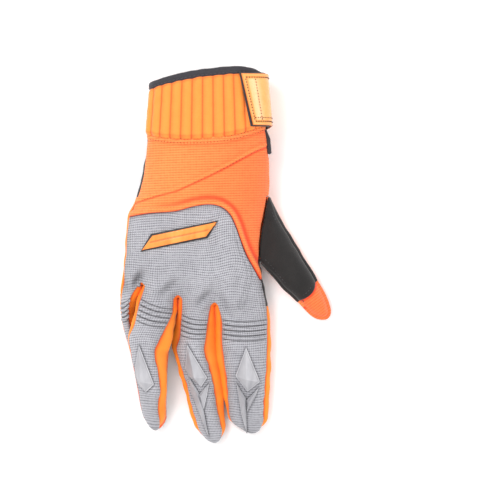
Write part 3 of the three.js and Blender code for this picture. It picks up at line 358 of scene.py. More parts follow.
def handTop(x, y):
    # The seams' height, plus crown times dome, less a bell at each gap between fingers.
    low, high = handEdge(-1, y), handEdge(1, y)
    across = (2 * x - low - high) / (high - low)
    seam = mix(hand("pinkyZ", y), hand("thumbZ", y), (np.clip(across, -1, 1) + 1) / 2)
    z = (seam + hand("crown", y) * domed(across, mix(domeSquareness, 0.45, nearCuff(y)))) * handHeight
    for cx, cy in zip(knuckleAcross[1:4], knuckleAlong[1:4]):
        z = z - crotchDepth * bell(x, cx, crotchWidth) * (1 - ease(y - cy, 0, 4 * crotchWidth))
    return z


strapStack = ribHeight + 2 * liftGap + backingThickness + strapThickness
palmTurn = math.radians(50)


def palmFloor(y):
    # The strap's stack of layers, by a soft step near the cuff.
    return (strapStack - 0.3) * ease(y, 0.8 * handLength, 0.93 * handLength)


# How far the palm's border lies in from the edge and up from the floor, at the hand and at the cuff
palmBorder = dict(insetHand=0.024, insetCuff=0.125, riseHand=0.14, riseCuff=0.2)


def palmEdge(side, y):
    # The hand's edge, drawn in by a share of its width and raised by a share of a finger.
    inset = mix(palmBorder["insetHand"], palmBorder["insetCuff"], nearCuff(y)) * handWidth
    rise = mix(palmBorder["riseHand"], palmBorder["riseCuff"], nearCuff(y)) * fingerHeight
    end = math.pi if side < 0 else 0
    drop = (cuffSeam(end) - cuffSeam(end - side * palmTurn)) * nearCuff(y)
    return points(handEdge(side, y) - side * inset, y - drop, palmFloor(y) + rise)


def narrowing(along, roundTip):
    # A quarter circle: the root of one less t squared, from where the tip turns round.
    t = np.clip((along - roundTip) / (1 - roundTip), 0, 1)
    return np.sqrt(1 - t**2)


# A finger's three surfaces: its back, its palm and how far its sides swell
class Digit:
    def __init__(self, name):
        finger = fingers[name]
        self.rows = finger["rows"]
        self.length = finger["length"]
        self.roundTip = finger["roundTip"]
        self.roots = knuckleAlong[finger["start"] : finger["start"] + 2]

    def get(self, name, along):
        # The finger's own column at a share of its length.
        return column(self.rows, name, along)

    def plan(self, along, across, below):
        # Half the width times across, narrowed at the tip, at y from the root line downwards.
        left, right = self.get("left" + below, along), self.get("right" + below, along)
        half = (right - left) / 2 * across * narrowing(along, self.roundTip)
        root = mix(self.roots[0], self.roots[1], (across + 1) / 2)
        y = mix(root, self.roots.mean(), np.minimum(1, along / 0.5)) - along * self.length
        return ((left + right) / 2 + half) * handWidth, y

    def top(self, along, across):
        # The side seams' heights plus crown times dome, easing out of the hand's back.
        along, across = sameShape(along, across)
        narrow = narrowing(along, self.roundTip)
        x, y = self.plan(along, across, "")
        a, b = self.get("leftZ", along), self.get("rightZ", along)
        arch = self.get("crown", along) * narrow**0.8 * domed(across)
        z = (a + b) / 2 + (b - a) / 2 * across * narrow + arch
        return points(x, y, mix(handTop(x, y), z * fingerHeight, ease(along, 0, 0.2)))

    def below(self, along, across):
        # The floor's height, raised at the edges by the fourth power of across and at the tip.
        along, across = sameShape(along, across)
        x, y = self.plan(along, across, "Below")
        edge = 1 - narrowing(along, self.roundTip) * (1 - across**4)
        return points(x, y, (self.get("floor", along) + palmBorder["riseHand"] * edge) * fingerHeight)

    def puff(self, along, side):
        # The side's column, times the named swell.
        return self.get("leftPuff" if side < 0 else "rightPuff", along) * sidePuff


digits = {name: Digit(name) for name in fingers}
order = list(fingers)
palmRows = [0, 0.06, 0.15, 0.257, 0.37, 0.49, 0.601, 0.71, 0.81, 0.9, 1]
webRow, wristRow, heelRow = 3, 6, 6


def handStation(side, share):
    # The share of the way from the finger's root to the cuff's seam along one edge.
    root = knuckleAlong[0 if side < 0 else 4]
    return mix(root, cuffSeam(math.pi if side < 0 else 0) - seamGap, share)


# The thumb, in its own axes from its root on the hand's edge
thumbTurn = math.radians(-54.6)
thumbTipStart = 0.74
thumbRoundTip = 0.82
thumbRootShare = 0.455  # of the hand's length
thumbPalmInset = 1.5
thumbDown = np.array([math.cos(thumbTurn), math.sin(thumbTurn), 0])
thumbOut = np.array([-thumbDown[1], thumbDown[0], 0])


class Thumb:
    # Every point is the root, plus a way down the thumb, plus a way across it
    def at(self, along, across, inset):
        # The root, plus the share down times the length and the share across times the width.
        def share(outer, inner):
            a, b = column(thumbRows, inner, along), column(thumbRows, outer, along)
            return (a + b) / 2 + (b - a) / 2 * across * narrowing(along, thumbRoundTip)

        rootY = thumbRootShare * handLength
        root = np.array([float(handEdge(1, rootY)), rootY, 0])
        down = share("outerDown", "innerDown")[..., None] * thumbLength
        out = share("outerAcross", "innerAcross")[..., None] * (thumbWidth - inset)
        return root + down * thumbDown + out * thumbOut

    def fromEdge(self, along, across, inset, edge):
        # The thumb's place, drawn to the hand's edge by a soft step from the root.
        web = handStation(1, palmRows[webRow]) + seamGap
        wrist = handStation(1, palmRows[wristRow]) - seamGap
        y = mix(web, wrist, (across + 1) / 2)
        onEdge = edge(y) + np.array([seamGap, 0, 0])
        left = 1 - ease(along, 0, 0.3)
        move = onEdge - self.at(np.zeros_like(along), across, inset)
        move[..., 2] = 0
        return self.at(along, across, inset) + move * left[..., None], left, onEdge

    def top(self, along, across):
        # The seam's height plus crown times dome, easing out of the hand's edge.
        along, across = sameShape(along, across)
        p, left, onEdge = self.fromEdge(along, across, 0, lambda y: points(handEdge(1, y), y, 0))
        narrow = narrowing(along, thumbRoundTip) ** 0.8
        arch = column(thumbRows, "crown", along) * narrow * domed(across)
        z = (column(thumbRows, "seamZ", along) + arch) * fingerHeight
        edgeY = onEdge[..., 1]
        p[..., 2] = mix(z, handTop(handEdge(1, edgeY), edgeY), left)
        return p

    def below(self, along, across):
        # Flat, raised at the edges and the tip, easing out of the palm's edge.
        along, across = sameShape(along, across)
        p, left, onEdge = self.fromEdge(along, across, thumbPalmInset, lambda y: palmEdge(1, y))
        edge = 1 - narrowing(along, thumbRoundTip) * (1 - across**4)
        z = palmBorder["riseHand"] * edge * fingerHeight
        p[..., 2] = mix(z, onEdge[..., 2], left)
        return p


digits["thumb"] = Thumb()


# The cuff's slightly squared round
cuffCentreX = 0.071 * handWidth
cuffSquareness = 0.86
cuffFlare = 0.062  # how much wider it is at the seam than at its edge
fineSteps = 2881  # places round the cuff where its run is measured


def squared(value, power=cuffSquareness):
    # The size to a power below 1 with its sign kept, so a circle turns a little square.
    return np.sign(value) * np.abs(value) ** power


def cuffPoint(turn, along, out):
    # A squared oval round the cuff's middle, grown by out, from its seam to its edge.
    y = mix(cuffSeam(turn), cuffEdge(turn), along)
    flare = 1 + cuffFlare * (1 - np.minimum(1, along))
    x = cuffCentreX + (cuffHalfWidth * flare + out) * squared(np.cos(turn))
    return points(x, y, strapStack + cuffHalfHeight + (cuffHalfHeight + out) * squared(np.sin(turn)))


def cuffOut(turn, along):
    # The way from one of those ovals to the next larger one.
    return unit(cuffPoint(turn, along, 1.0) - cuffPoint(turn, along, 0.0))


def evenTurns(count):
    # Turns round the cuff that are even by arc length, the first at the thumb side.
    fine = np.linspace(0, 2 * np.pi, fineSteps)
    run = runAlong(cuffPoint(fine, 0.5, 0))
    return np.interp(np.linspace(0, run[-1], count + 1), run, fine)


# Mesh helpers: grids of points are welded into one skin, then given a thickness
noTriangles = np.zeros((0, 3), int)


def gridQuads(index):
    # Each cell of a grid of point numbers as the four at its corners.
    return np.stack([index[:-1, :-1], index[:-1, 1:], index[1:, 1:], index[1:, :-1]], -1).reshape(-1, 4)


weldSteps = 500  # points closer than a 500th of a millimetre become one
insideShade = 0.8  # of the outside's
rollReach = 2.2  # how far in from an edge its roll starts, in heights of the roll


class Skin:
    def __init__(self):
        self.grids = []

    def grid(self, p, lift=0.0, shade=1.0, cloth=None):
        # Adds one grid; its cloth coordinates are the runs across and along unless they are given.
        rows, columns = p.shape[:2]
        if cloth is None:
            alongRun = np.cumsum(np.linalg.norm(np.diff(p, axis=0, prepend=p[:1]), axis=2), axis=0)
            acrossRun = np.cumsum(np.linalg.norm(np.diff(p, axis=1, prepend=p[:, :1]), axis=2), axis=1)
            cloth = np.stack([acrossRun - acrossRun[:, -1:] / 2, alongRun], axis=-1)
        full = lambda v: np.broadcast_to(np.asarray(v, float), (rows, columns))
        quads = gridQuads(np.arange(rows * columns).reshape(rows, columns))
        self.grids.append((p, full(lift), full(shade), cloth, quads))
        return self

    def build(self, name, thickness, wayOut, look, slot, nodes=(), roll=0.0, smooth=True):
        # Welds the grids, lifts the outside along the normals and sets the inside a thickness below.
        offsets = np.cumsum([0] + [g[0].shape[0] * g[0].shape[1] for g in self.grids])
        p = np.concatenate([g[0].reshape(-1, 3) for g in self.grids])
        lift = np.concatenate([g[1].ravel() for g in self.grids])
        shade = np.concatenate([g[2].ravel() for g in self.grids])
        cloth = np.concatenate([g[3].reshape(-1, 2) for g in self.grids])
        quads = np.concatenate([g[4] + offset for g, offset in zip(self.grids, offsets)])
        rounded = np.round(p * weldSteps).astype(np.int64)
        _, first, weld = np.unique(rounded, axis=0, return_index=True, return_inverse=True)
        weld = weld.ravel()
        p, lift, shade, cloth = p[first], lift[first], shade[first], cloth[first]
        corners = np.concatenate([quads[:, [0, 1, 2]], quads[:, [0, 2, 3]]])
        tris = weld[corners]
        good = (tris[:, 0] != tris[:, 1]) & (tris[:, 1] != tris[:, 2]) & (tris[:, 2] != tris[:, 0])
        tris = tris[good]
        normals = vertexNormals(p, tris)
        middle = p[tris].mean(axis=1)
        faceOut = np.cross(p[tris[:, 1]] - p[tris[:, 0]], p[tris[:, 2]] - p[tris[:, 0]])
        if (faceOut * wayOut(middle)).sum() < 0:
            tris = tris[:, ::-1]
            normals = -normals
        outer = p + normals * lift[:, None]
        inner = p - normals * thickness
        edges = openEdges(tris)
        if roll and len(edges):
            rim = p[np.unique(edges)]
            near = nearest(p, rim)[1]
            drop = roll * (1 - np.sqrt(1 - np.clip(1 - near / (roll * rollReach), 0, 1) ** 2))
            outer = outer - normals * drop[:, None]
        count = len(p)
        strip = np.stack([edges[:, 0], edges[:, 0] + count, edges[:, 1] + count, edges[:, 1]], -1)
        faces = np.concatenate([tris, tris[:, ::-1] + count])
        allPoints = np.concatenate([outer, inner])
        shade = np.concatenate([shade, shade * insideShade])
        cloth = np.concatenate([cloth, cloth])
        addMesh(name, allPoints, faces, strip, look, nodes, shade, cloth, smooth)


def vertexNormals(p, tris):
    # The cross products of the faces at each point added up, then divided by their length.
    area = np.cross(p[tris[:, 1]] - p[tris[:, 0]], p[tris[:, 2]] - p[tris[:, 0]])
    sums = np.zeros_like(p)
    for k in range(3):
        for axis in range(3):
            sums[:, axis] += np.bincount(tris[:, k], area[:, axis], len(p))
    return unit(sums)


def openEdges(tris):
    # The directed edges that only one triangle has.
    ends = np.concatenate([tris[:, [0, 1]], tris[:, [1, 2]], tris[:, [2, 0]]]).astype(np.int64)
    size = int(tris.max()) + 1
    key = ends[:, 0] * size + ends[:, 1]
    back = ends[:, 1] * size + ends[:, 0]
    return ends[~np.isin(key, back)]


def nearest(p, rim):
    # For each point, which rim point is nearest and how far it is.
    tree = kdtree.KDTree(len(rim))
    for i, q in enumerate(rim):
        tree.insert(q, i)
    tree.balance()
    found = [tree.find(q) for q in p]
    return [hit[1] for hit in found], np.array([hit[2] for hit in found])


groundGap = 0.02  # the lowest place that a point may have


def addMesh(name, p, tris, quads, look, nodes, shade, cloth, smooth=True):
    # A mesh from points, triangles and quads, with its look and the nodes it replaces.
    # Nothing dips below the ground.
    p = np.concatenate([p[:, :2], np.maximum(p[:, 2:], groundGap)], axis=1)
    loops = np.concatenate([tris.ravel(), quads.ravel()]).astype(np.int32)
    starts = np.concatenate([np.arange(len(tris)) * 3, len(tris) * 3 + np.arange(len(quads)) * 4])
    mesh = bpy.data.meshes.new(name)
    mesh.vertices.add(len(p))
    mesh.vertices.foreach_set("co", place(p).astype(np.float32).ravel())
    mesh.loops.add(len(loops))
    mesh.loops.foreach_set("vertex_index", loops)
    mesh.polygons.add(len(tris) + len(quads))
    mesh.polygons.foreach_set("loop_start", starts.astype(np.int32))
    mesh.update(calc_edges=True)
    mesh.validate()
    # The shade attribute carries the piece's painted light and shade.
    layer = mesh.attributes.new("shade", "FLOAT", "POINT")
    layer.data.foreach_set("value", np.asarray(shade, np.float32))
    if len(mesh.loops) == len(loops):
        uv = mesh.uv_layers.new(name="cloth")
        uv.data.foreach_set("uv", np.asarray(cloth, np.float32)[loops].ravel())
    mesh.polygons.foreach_set("use_smooth", np.full(len(mesh.polygons), smooth))
    piece = bpy.data.objects.new(name, mesh)
    bpy.context.scene.collection.objects.link(piece)
    mesh.materials.append(looks[look])
    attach(piece, "root")
    if nodes:
        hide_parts(*nodes)


# Materials: every colour, weave and bump comes from nodes on the piece's own cloth coordinates
def paint(text):
    # Each pair of hex digits over 255, then the sRGB curve undone.
    parts = [int(text[i : i + 2], 16) / 255 for i in (1, 3, 5)]
    return [c / 12.92 if c <= 0.04045 else ((c + 0.055) / 1.055) ** 2.4 for c in parts] + [1.0]


class Nodes:
    # Short ways to add nodes to one tree, a material's or a group's
    def __init__(self, tree):
        self.tree = tree

    def add(self, kind, *values, **settings):
        # A new node with its settings, and its inputs fed in their order.
        node = self.tree.nodes.new(kind)
        for key, value in settings.items():
            setattr(node, key, value)
        for socket, value in zip(node.inputs, values):
            self.feed(socket, value)
        return node

    def feed(self, socket, value):
        # A link where the value comes from a node, and otherwise a plain number.
        if isinstance(value, bpy.types.NodeSocket):
            self.tree.links.new(value, socket)
        elif value is not None:
            socket.default_value = value

    def math(self, operation, *values):
        # One step of arithmetic.
        return self.add("ShaderNodeMath", *values, operation=operation).outputs[0]

    def weigh(self, a, aShare, b, bShare):
        # a and b, each times its own share, added up.
        return self.math("ADD", self.math("MULTIPLY", a, aShare), self.math("MULTIPLY", b, bShare))

    def blend(self, t, a, b):
        # a, plus t times the way from a to b, for colours.
        node = self.add("ShaderNodeMix", data_type="RGBA")
        for socket, value in zip((node.inputs[0], node.inputs[6], node.inputs[7]), (t, a, b)):
            self.feed(socket, value)
        return node.outputs[2]

    def span(self, value, low, high, start=0.0, end=1.0):
        # The value's share between low and high, set between start and end.
        return self.add("ShaderNodeMapRange", value, low, high, start, end).outputs[0]

    def group(self, tree, **values):
        # A shared effect placed here with its own values.
        node = self.add("ShaderNodeGroup", node_tree=tree)
        for key, value in values.items():
            self.feed(node.inputs[key], value)
        return node.outputs


class Group(Nodes):
    # A shared effect, with its named inputs and outputs
    def __init__(self, name, inputs, outputs):
        super().__init__(bpy.data.node_groups.new(name, "ShaderNodeTree"))
        for label, kind, value in inputs:
            socket = self.tree.interface.new_socket(label, in_out="INPUT", socket_type="NodeSocket" + kind)
            if value is not None:
                socket.default_value = value
        for label, kind in outputs:
            self.tree.interface.new_socket(label, in_out="OUTPUT", socket_type="NodeSocket" + kind)
        self.inputs = self.tree.nodes.new("NodeGroupInput").outputs
        self.results = self.tree.nodes.new("NodeGroupOutput").inputs

    def ridge(self, run, pitch):
        # The sine of pi times the run over the pitch: 0 between two threads and 1 on a thread.
        turned = self.math("DIVIDE", self.math("MULTIPLY", run, math.pi), pitch)
        return self.math("ABSOLUTE", self.math("SINE", turned))


def makeWeaveGroup():
    # Rows and loops of thread at two pitches in millimetres, the loops leaning by a share of the row.
    inputs = [("Cloth", "Vector", None), ("Row Pitch", "Float", 1.0), ("Loop Pitch", "Float", 1.0)]
    group = Group("cloth weave", inputs + [("Lean", "Float", 0.0)], [("Rows", "Float"), ("Loops", "Float")])
    cloth = group.add("ShaderNodeSeparateXYZ", group.inputs["Cloth"]).outputs
    rowPitch = group.inputs["Row Pitch"]
    half = group.math("PINGPONG", cloth[1], group.math("MULTIPLY", rowPitch, 0.5))
    leaning = group.math("ADD", cloth[0], group.math("MULTIPLY", half, group.inputs["Lean"]))
    group.feed(group.results["Rows"], group.ridge(cloth[1], rowPitch))
    group.feed(group.results["Loops"], group.ridge(leaning, group.inputs["Loop Pitch"]))
    return group.tree


def makeGrainGroup():
    # Uneven grain of a size in millimetres, drawn out by Stretch.
    inputs = [("Place", "Vector", None), ("Size", "Float", 1.0), ("Detail", "Float", 3.0)]
    group = Group("uneven grain", inputs + [("Stretch", "Vector", (1.0, 1.0, 1.0))], [("Grain", "Float")])
    placeAndStretch = group.inputs["Place"], group.inputs["Stretch"]
    turned = group.add("ShaderNodeVectorMath", *placeAndStretch, operation="MULTIPLY")
    noise = group.add("ShaderNodeTexNoise")
    group.feed(noise.inputs["Vector"], turned.outputs[0])
    group.feed(noise.inputs["Scale"], group.math("DIVIDE", 1000.0, group.inputs["Size"]))
    group.feed(noise.inputs["Detail"], group.inputs["Detail"])
    group.feed(group.results["Grain"], noise.outputs[0])
    return group.tree


def makeSeamGroup():
    # Painted light and shade: by the Shade value, seams and hollows turn darker and painted highlights
    # paler, and the painted shade turns towards the hollow shade colour by the tint share.
    inputs = [("Colour", "Color", None), ("HollowShade", "Color", None), ("Shade", "Float", 1.0)]
    group = Group("seam shade", inputs + [("ShadeTint", "Float", 0.0)], [("Colour", "Color")])
    shade, shadeTint = group.inputs["Shade"], group.inputs["ShadeTint"]
    depth = group.math("MULTIPLY", group.span(shade, 1.0, 0.55), shadeTint)
    colour = group.blend(depth, group.inputs["Colour"], group.inputs["HollowShade"])
    gentle = group.span(shade, 0.0, 1.2, 0.55, 1.09)
    value = group.math("ADD", shade, group.math("MULTIPLY", group.math("SUBTRACT", gentle, shade), shadeTint))
    tint = group.add("ShaderNodeHueSaturation")
    group.feed(tint.inputs["Color"], colour)
    group.feed(tint.inputs["Value"], value)
    group.feed(group.results["Colour"], tint.outputs[0])
    return group.tree


weaveGroup, grainGroup, seamGroup = makeWeaveGroup(), makeGrainGroup(), makeSeamGroup()


class Look(Nodes):
    # One material: a Principled shader, the piece's cloth coordinates and its shade
    def __init__(self, name):
        self.material = bpy.data.materials.new(name)
        self.material.use_nodes = True
        super().__init__(self.material.node_tree)
        self.shader = self.tree.nodes["Principled BSDF"]
        self.cloth = self.add("ShaderNodeUVMap", uv_map="cloth").outputs[0]
        self.shade = self.add("ShaderNodeAttribute", attribute_name="shade").outputs["Fac"]
        self.where = self.add("ShaderNodeTexCoord").outputs["Object"]

    def weave(self, rowPitch, loopPitch, lean=0.0):
        # The rows and loops of the shared weave, on the piece's cloth coordinates.
        values = {"Cloth": self.cloth, "Row Pitch": rowPitch, "Loop Pitch": loopPitch, "Lean": lean}
        outputs = self.group(weaveGroup, **values)
        return outputs["Rows"], outputs["Loops"]

    def grain(self, size, detail=3.0, stretch=(1.0, 1.0, 1.0)):
        # The shared uneven grain at one size.
        return self.group(grainGroup, Place=self.where, Size=size, Detail=detail, Stretch=stretch)["Grain"]

    def cells(self, size):
        # The distance to the edge of small cells.
        node = self.add("ShaderNodeTexVoronoi", feature="DISTANCE_TO_EDGE")
        self.feed(node.inputs["Vector"], self.where)
        node.inputs["Scale"].default_value = 1000 / size
        return node.outputs["Distance"]

    def finish(self, colour, height, depth, roughness, hollowShade=None, **settings):
        # Colour by the seam shade group, roughness, a bump from the height, then plain settings.
        # The hollow colour is the painted shade colour in seams and hollows; with none, the painted shade
        # only darkens.
        shadeTinting = {"HollowShade": paint(hollowShade or "#000000"), "ShadeTint": 1.0 if hollowShade else 0.0}
        shaded = self.group(seamGroup, Colour=colour, Shade=self.shade, **shadeTinting)["Colour"]
        self.feed(self.shader.inputs["Base Color"], shaded)
        self.feed(self.shader.inputs["Roughness"], roughness)
        bump = self.add("ShaderNodeBump")
        bump.inputs["Strength"].default_value = 1.0
        bump.inputs["Distance"].default_value = depth / 1000
        self.feed(bump.inputs["Height"], height)
        self.feed(self.shader.inputs["Normal"], bump.outputs[0])
        for key, value in settings.items():
            self.shader.inputs[key.replace("_", " ")].default_value = value
        return self.material


def knitLook(name, rowPitch, loopPitch, light, dark, depth, hollowShade=None, mottle=0.35):
    # A knit: rows of loops, darker between the rows, each loop a small slanted V.
    look = Look(name)
    rows, loops = look.weave(rowPitch, loopPitch, 0.45)
    gap = look.math("POWER", look.math("SUBTRACT", 1.0, rows), 1.6)
    pits = look.math("POWER", look.math("SUBTRACT", 1.0, loops), 1.8)
    both = look.weigh(gap, 0.62, pits, 0.5)
    uneven = look.span(look.grain(2.4, 4.0), 0.3, 0.7, 1 - mottle, 1 + mottle)
    t = look.math("MULTIPLY", look.math("MULTIPLY", both, uneven), 1.05)
    colour = look.blend(look.math("MINIMUM", t, 1.0), paint(light), paint(dark))
    broad = look.span(look.grain(26, 2.0), 0.35, 0.65, 0.0, 0.16)
    colour = look.blend(broad, colour, paint(dark))
    height = look.weigh(rows, 0.7, loops, 0.5)
    height = look.math("ADD", height, look.math("MULTIPLY", look.grain(0.5, 2.0), 0.25))
    return look.finish(colour, height, depth, 0.86, hollowShade, Sheen_Weight=0.12, Sheen_Roughness=0.5)


def jerseyLook(name, light, dark, hollowShade):
    # The smooth stretch cloth of the finger sides, with a fine jersey face.
    look = Look(name)
    loops = look.weave(1.24, 0.62, 0.6)[1]
    colour = look.blend(look.span(look.grain(7), 0.3, 0.7, 0.0, 0.55), paint(light), paint(dark))
    height = look.math("ADD", look.math("MULTIPLY", loops, 0.6), look.grain(0.7))
    return look.finish(colour, height, 0.06, 0.62, hollowShade, Sheen_Weight=0.15)


def suedeLook(name, light, dark, roughness=0.92):
    # Short napped fibre with brushed patches.
    look = Look(name)
    nap = look.grain(0.55, 5.0, (1.0, 2.2, 1.0))
    t = look.weigh(nap, 0.6, look.grain(9, 4.0), 0.5)
    colour = look.blend(look.span(t, 0.35, 0.75), paint(dark), paint(light))
    return look.finish(colour, nap, 0.16, roughness, Sheen_Weight=0.25, Sheen_Roughness=0.4)


def tapeLook(name, light, dark):
    # A woven tape with fine ribs along its run.
    look = Look(name)
    picks, ribs = look.weave(0.5, 0.7)
    weave = look.math("MULTIPLY", ribs, look.math("ADD", look.math("MULTIPLY", picks, 0.5), 0.5))
    t = look.span(look.math("ADD", weave, look.grain(0.9)), 0.4, 1.5)
    colour = look.blend(t, paint(dark), paint(light))
    return look.finish(colour, weave, 0.10, 0.72, Sheen_Weight=0.1)


def cuffLook(name):
    # The cuff's quilted cloth with a fine cross weave; its painted shade turns redder down in the grooves.
    look = Look(name)
    across, fine = look.weave(0.95, 0.8)
    weave = look.weigh(across, 0.6, fine, 0.4)
    light = look.blend(look.span(look.grain(5), 0.3, 0.7, 0.0, 0.4), paint("#ff9032"), paint("#ff842a"))
    colour = look.blend(look.span(weave, 0.0, 0.8, 0.3, 0.0), light, paint("#f47a22"))
    return look.finish(colour, weave, 0.10, 0.66, "#f0641c", Sheen_Weight=0.12)


def leatherLook(name):
    # Smooth synthetic leather: fine pebble grain, a soft gloss and a painted cream highlight down the
    # middle.
    look = Look(name)
    grain = look.span(look.cells(0.75), 0.0, 0.25)
    soft = look.grain(3.5, 4.0)
    colour = look.blend(look.span(soft, 0.3, 0.7, 0.0, 0.5), paint("#ffac54"), paint("#fc9a3e"))
    # Painted highlight: cream where the shade attribute rises above 1.
    colour = look.blend(look.span(look.shade, 1.0, 1.2, 0.0, 0.75), colour, paint("#ffc998"))
    pores = look.math("MULTIPLY", look.math("SUBTRACT", 1.0, grain), 0.3)
    colour = look.blend(pores, colour, paint("#d07a24"))
    height = look.math("ADD", look.math("MULTIPLY", grain, 0.6), soft)
    rough = look.span(soft, 0.3, 0.7, 0.34, 0.48)
    return look.finish(colour, height, 0.05, rough, "#c85c14", Coat_Weight=0.5, Coat_Roughness=0.25)


def rubberLook(name, light, dark, roughness):
    # Moulded rubber with a fine matt skin and scuffs.
    look = Look(name)
    scuffs = look.grain(5, 5.0, (1.0, 0.35, 1.0))
    colour = look.blend(look.span(scuffs, 0.35, 0.7), paint(light), paint(dark))
    rough = look.span(scuffs, 0.3, 0.7, roughness - 0.06, roughness + 0.12)
    return look.finish(colour, look.grain(0.35), 0.04, rough, Coat_Weight=0.08)


def threadLook(name, light, dark):
    # Twisted thread.
    look = Look(name)
    twist = look.weave(0.35, 0.35, 1.0)[1]
    colour = look.blend(look.math("MULTIPLY", twist, 0.8), paint(dark), paint(light))
    return look.finish(colour, twist, 0.05, 0.55)


# In the looks below, the last colour of the mesh and the gusset is their painted shade colour in hollows.
looks = dict(
    knit=knitLook("knit_grey", 1.5, 1.25, "#b9b8be", "#55545a", 0.36),
    mesh=knitLook("mesh_orange", 1.55, 0.95, "#ff964e", "#ec5418", 0.3, "#ff4416", 0.3),
    gusset=jerseyLook("gusset_orange", "#ff8e18", "#ff7a0c", "#ff4206"),
    suede=suedeLook("suede_black", "#272423", "#121010"),
    trim=tapeLook("trim_black", "#36323a", "#141215"),
    neoprene=suedeLook("wall_black", "#222023", "#121012", 0.7),
    cuff=cuffLook("cuff_orange"),
    leather=leatherLook("strap_leather"),
    rubber=rubberLook("pad_rubber", "#aaa9ad", "#949398", 0.4),
    badge=rubberLook("badge_orange", "#ff9a42", "#f07e24", 0.4),
    badgeRim=rubberLook("badge_black", "#2f2b2a", "#191616", 0.5),
    threadOrange=threadLook("thread_orange", "#ffa25a", "#e06a2c"),
    threadBlack=threadLook("thread_black", "#4a464c", "#1a181a"),
    threadGrey=threadLook("thread_grey", "#7c7b81", "#403f44"),
    # The rust and brown threads are dark to stand for the thread and for the painted shade in its stitch
    # holes.
    threadRust=threadLook("thread_rust", "#c8501c", "#742408"),
    threadBrown=threadLook("thread_brown", "#5c2a12", "#2a1006"),
    stripe=rubberLook("print_orange", "#ff7e20", "#f06610", 0.6),
)
print("materials ready")

# Ways out, steps and seams
upright = np.array([0.0, 0.0, 1.0])


def up(middle):
    # The same way out for every place.
    return upright


def down(middle):
    # Its opposite.
    return -upright


def fingerSteps(straight, around, roundTip, start=0.0):
    # Even steps to the place where the tip turns round, then the sines of even turns.
    turns = np.linspace(0, np.pi / 2, around + 1)[1:]
    even = np.linspace(start, roundTip, straight)
    return np.concatenate([even, roundTip + (1 - roundTip) * np.sin(turns)])


def acrossSteps(count):
    # The sines of even turns, so the steps are closest at both sides.
    return np.sin(np.linspace(-np.pi / 2, np.pi / 2, count + 1) * 0.92) / math.sin(math.pi * 0.46)


def outwardAt(digit, along, side):
    # The run of the side's seam, turned by a quarter circle in plan.
    ahead, behind = np.minimum(1, along + 0.002), np.maximum(0, along - 0.002)
    run = digit.top(ahead, side) - digit.top(behind, side)
    run[..., 2] = 0
    run = unit(run)
    return points(-side * run[..., 1], side * run[..., 0], 0)


def segmentDistance(x, y, ax, ay, bx, by):
    # The distance to the foot of the perpendicular, which is kept between both ends.
    t = np.clip(((x - ax) * (bx - ax) + (y - ay) * (by - ay)) / ((bx - ax) ** 2 + (by - ay) ** 2), 0, 1)
    return np.hypot(x - ax - t * (bx - ax), y - ay - t * (by - ay)), t


def lineDistance(x, y, line):
    # The smallest distance to any of the line's parts.
    pairs = zip(line[:-1], line[1:])
    return np.min([segmentDistance(x, y, *a, *b)[0] for a, b in pairs], axis=0)


def wander(x, y, size, seed):
    # A soft uneven field from a few crossing waves, between about -1 and 1.
    rng = np.random.default_rng(seed)
    total = 0.0
    for _ in range(7):
        turn, phase = rng.uniform(0, 2 * np.pi, 2)
        pitch = size * rng.uniform(0.7, 1.6)
        total = total + np.sin((x * np.cos(turn) + y * np.sin(turn)) * 2 * np.pi / pitch + phase)
    return total / 4


# Stitches: small threads laid along a path, gathered by look and built at the end
threads = {}
threadHalf = 0.4  # how far before and after its middle a thread's run is taken
threadSlots = dict(
    threadOrange="mesh_orange",
    threadRust="mesh_orange",
    threadBrown="strap_leather",
    threadGrey="knit_grey",
)


def pathAt(values, run, at):
    # Each column of the values, read off where the run reaches at.
    return np.stack([np.interp(at, run, values[:, k]) for k in range(3)], -1)


def resample(p, pitch):
    # Places at the middles of equal lengths of run, at about the pitch.
    run = runAlong(p)
    count = max(2, int(round(run[-1] / pitch)))
    at = (np.arange(count) + 0.5) * run[-1] / count
    return pathAt(p, run, at), run, at


def stitch(look, p, normal, pitch, length, width, sink=0.1):
    # Keeps each thread's middle, run and way out for the time when all are built.
    middle, run, at = resample(p, pitch)
    normal = np.broadcast_to(normal, p.shape)
    out = unit(pathAt(normal, run, at))
    tangent = unit(pathAt(p, run, at + threadHalf) - pathAt(p, run, at - threadHalf))
    threads.setdefault(look, []).append((middle - out * sink, tangent, out, length, width))


threadRings, threadSpokes = 8, 8


def buildStitches():
    # Each thread is an oval of rings: cosines along it and sines round it, arched up.
    around = np.linspace(0, 2 * np.pi, threadSpokes + 1)[:-1]
    rings = np.linspace(0, np.pi, threadRings)
    ringRun = -np.cos(rings)
    ringOut = np.sin(rings) ** 0.6
    wide, high = np.outer(ringOut, np.cos(around)), np.outer(ringOut, np.sin(around))
    template = points(ringRun[:, None], wide, high).reshape(-1, 3)
    index = np.arange(threadRings * threadSpokes).reshape(threadRings, threadSpokes)
    quads = gridQuads(np.concatenate([index, index[:, :1]], axis=1))
    for look, runs in threads.items():
        allPoints, allQuads, cloth, count = [], [], [], 0
        for middle, tangent, out, length, width in runs:
            side = unit(np.cross(tangent, out))
            scaled = template * np.array([length / 2, width / 2, width / 2])
            arch = 1 - scaled[:, 0] ** 2 / (length / 2) ** 2
            p = middle[:, None] + scaled[None, :, :1] * tangent[:, None]
            p = p + scaled[None, :, 1:2] * side[:, None]
            p = p + (scaled[None, :, 2:] + arch[None, :, None] * width * 0.35) * out[:, None]
            base = count + np.arange(len(middle))[:, None, None] * len(template)
            allQuads.append((quads[None] + base).reshape(-1, 4))
            allPoints.append(p.reshape(-1, 3))
            cloth.append(np.tile(scaled[:, :2], (len(middle), 1)))
            count += len(middle) * len(template)
        p = np.concatenate(allPoints)
        name = "stitches_" + look.removeprefix("thread").lower()
        faces, cloth = np.concatenate(allQuads)[:, ::-1], np.concatenate(cloth)
        slot = threadSlots.get(look, "trim_black")
        addMesh(name, p, noTriangles, faces, look, (), np.ones(len(p)), cloth)


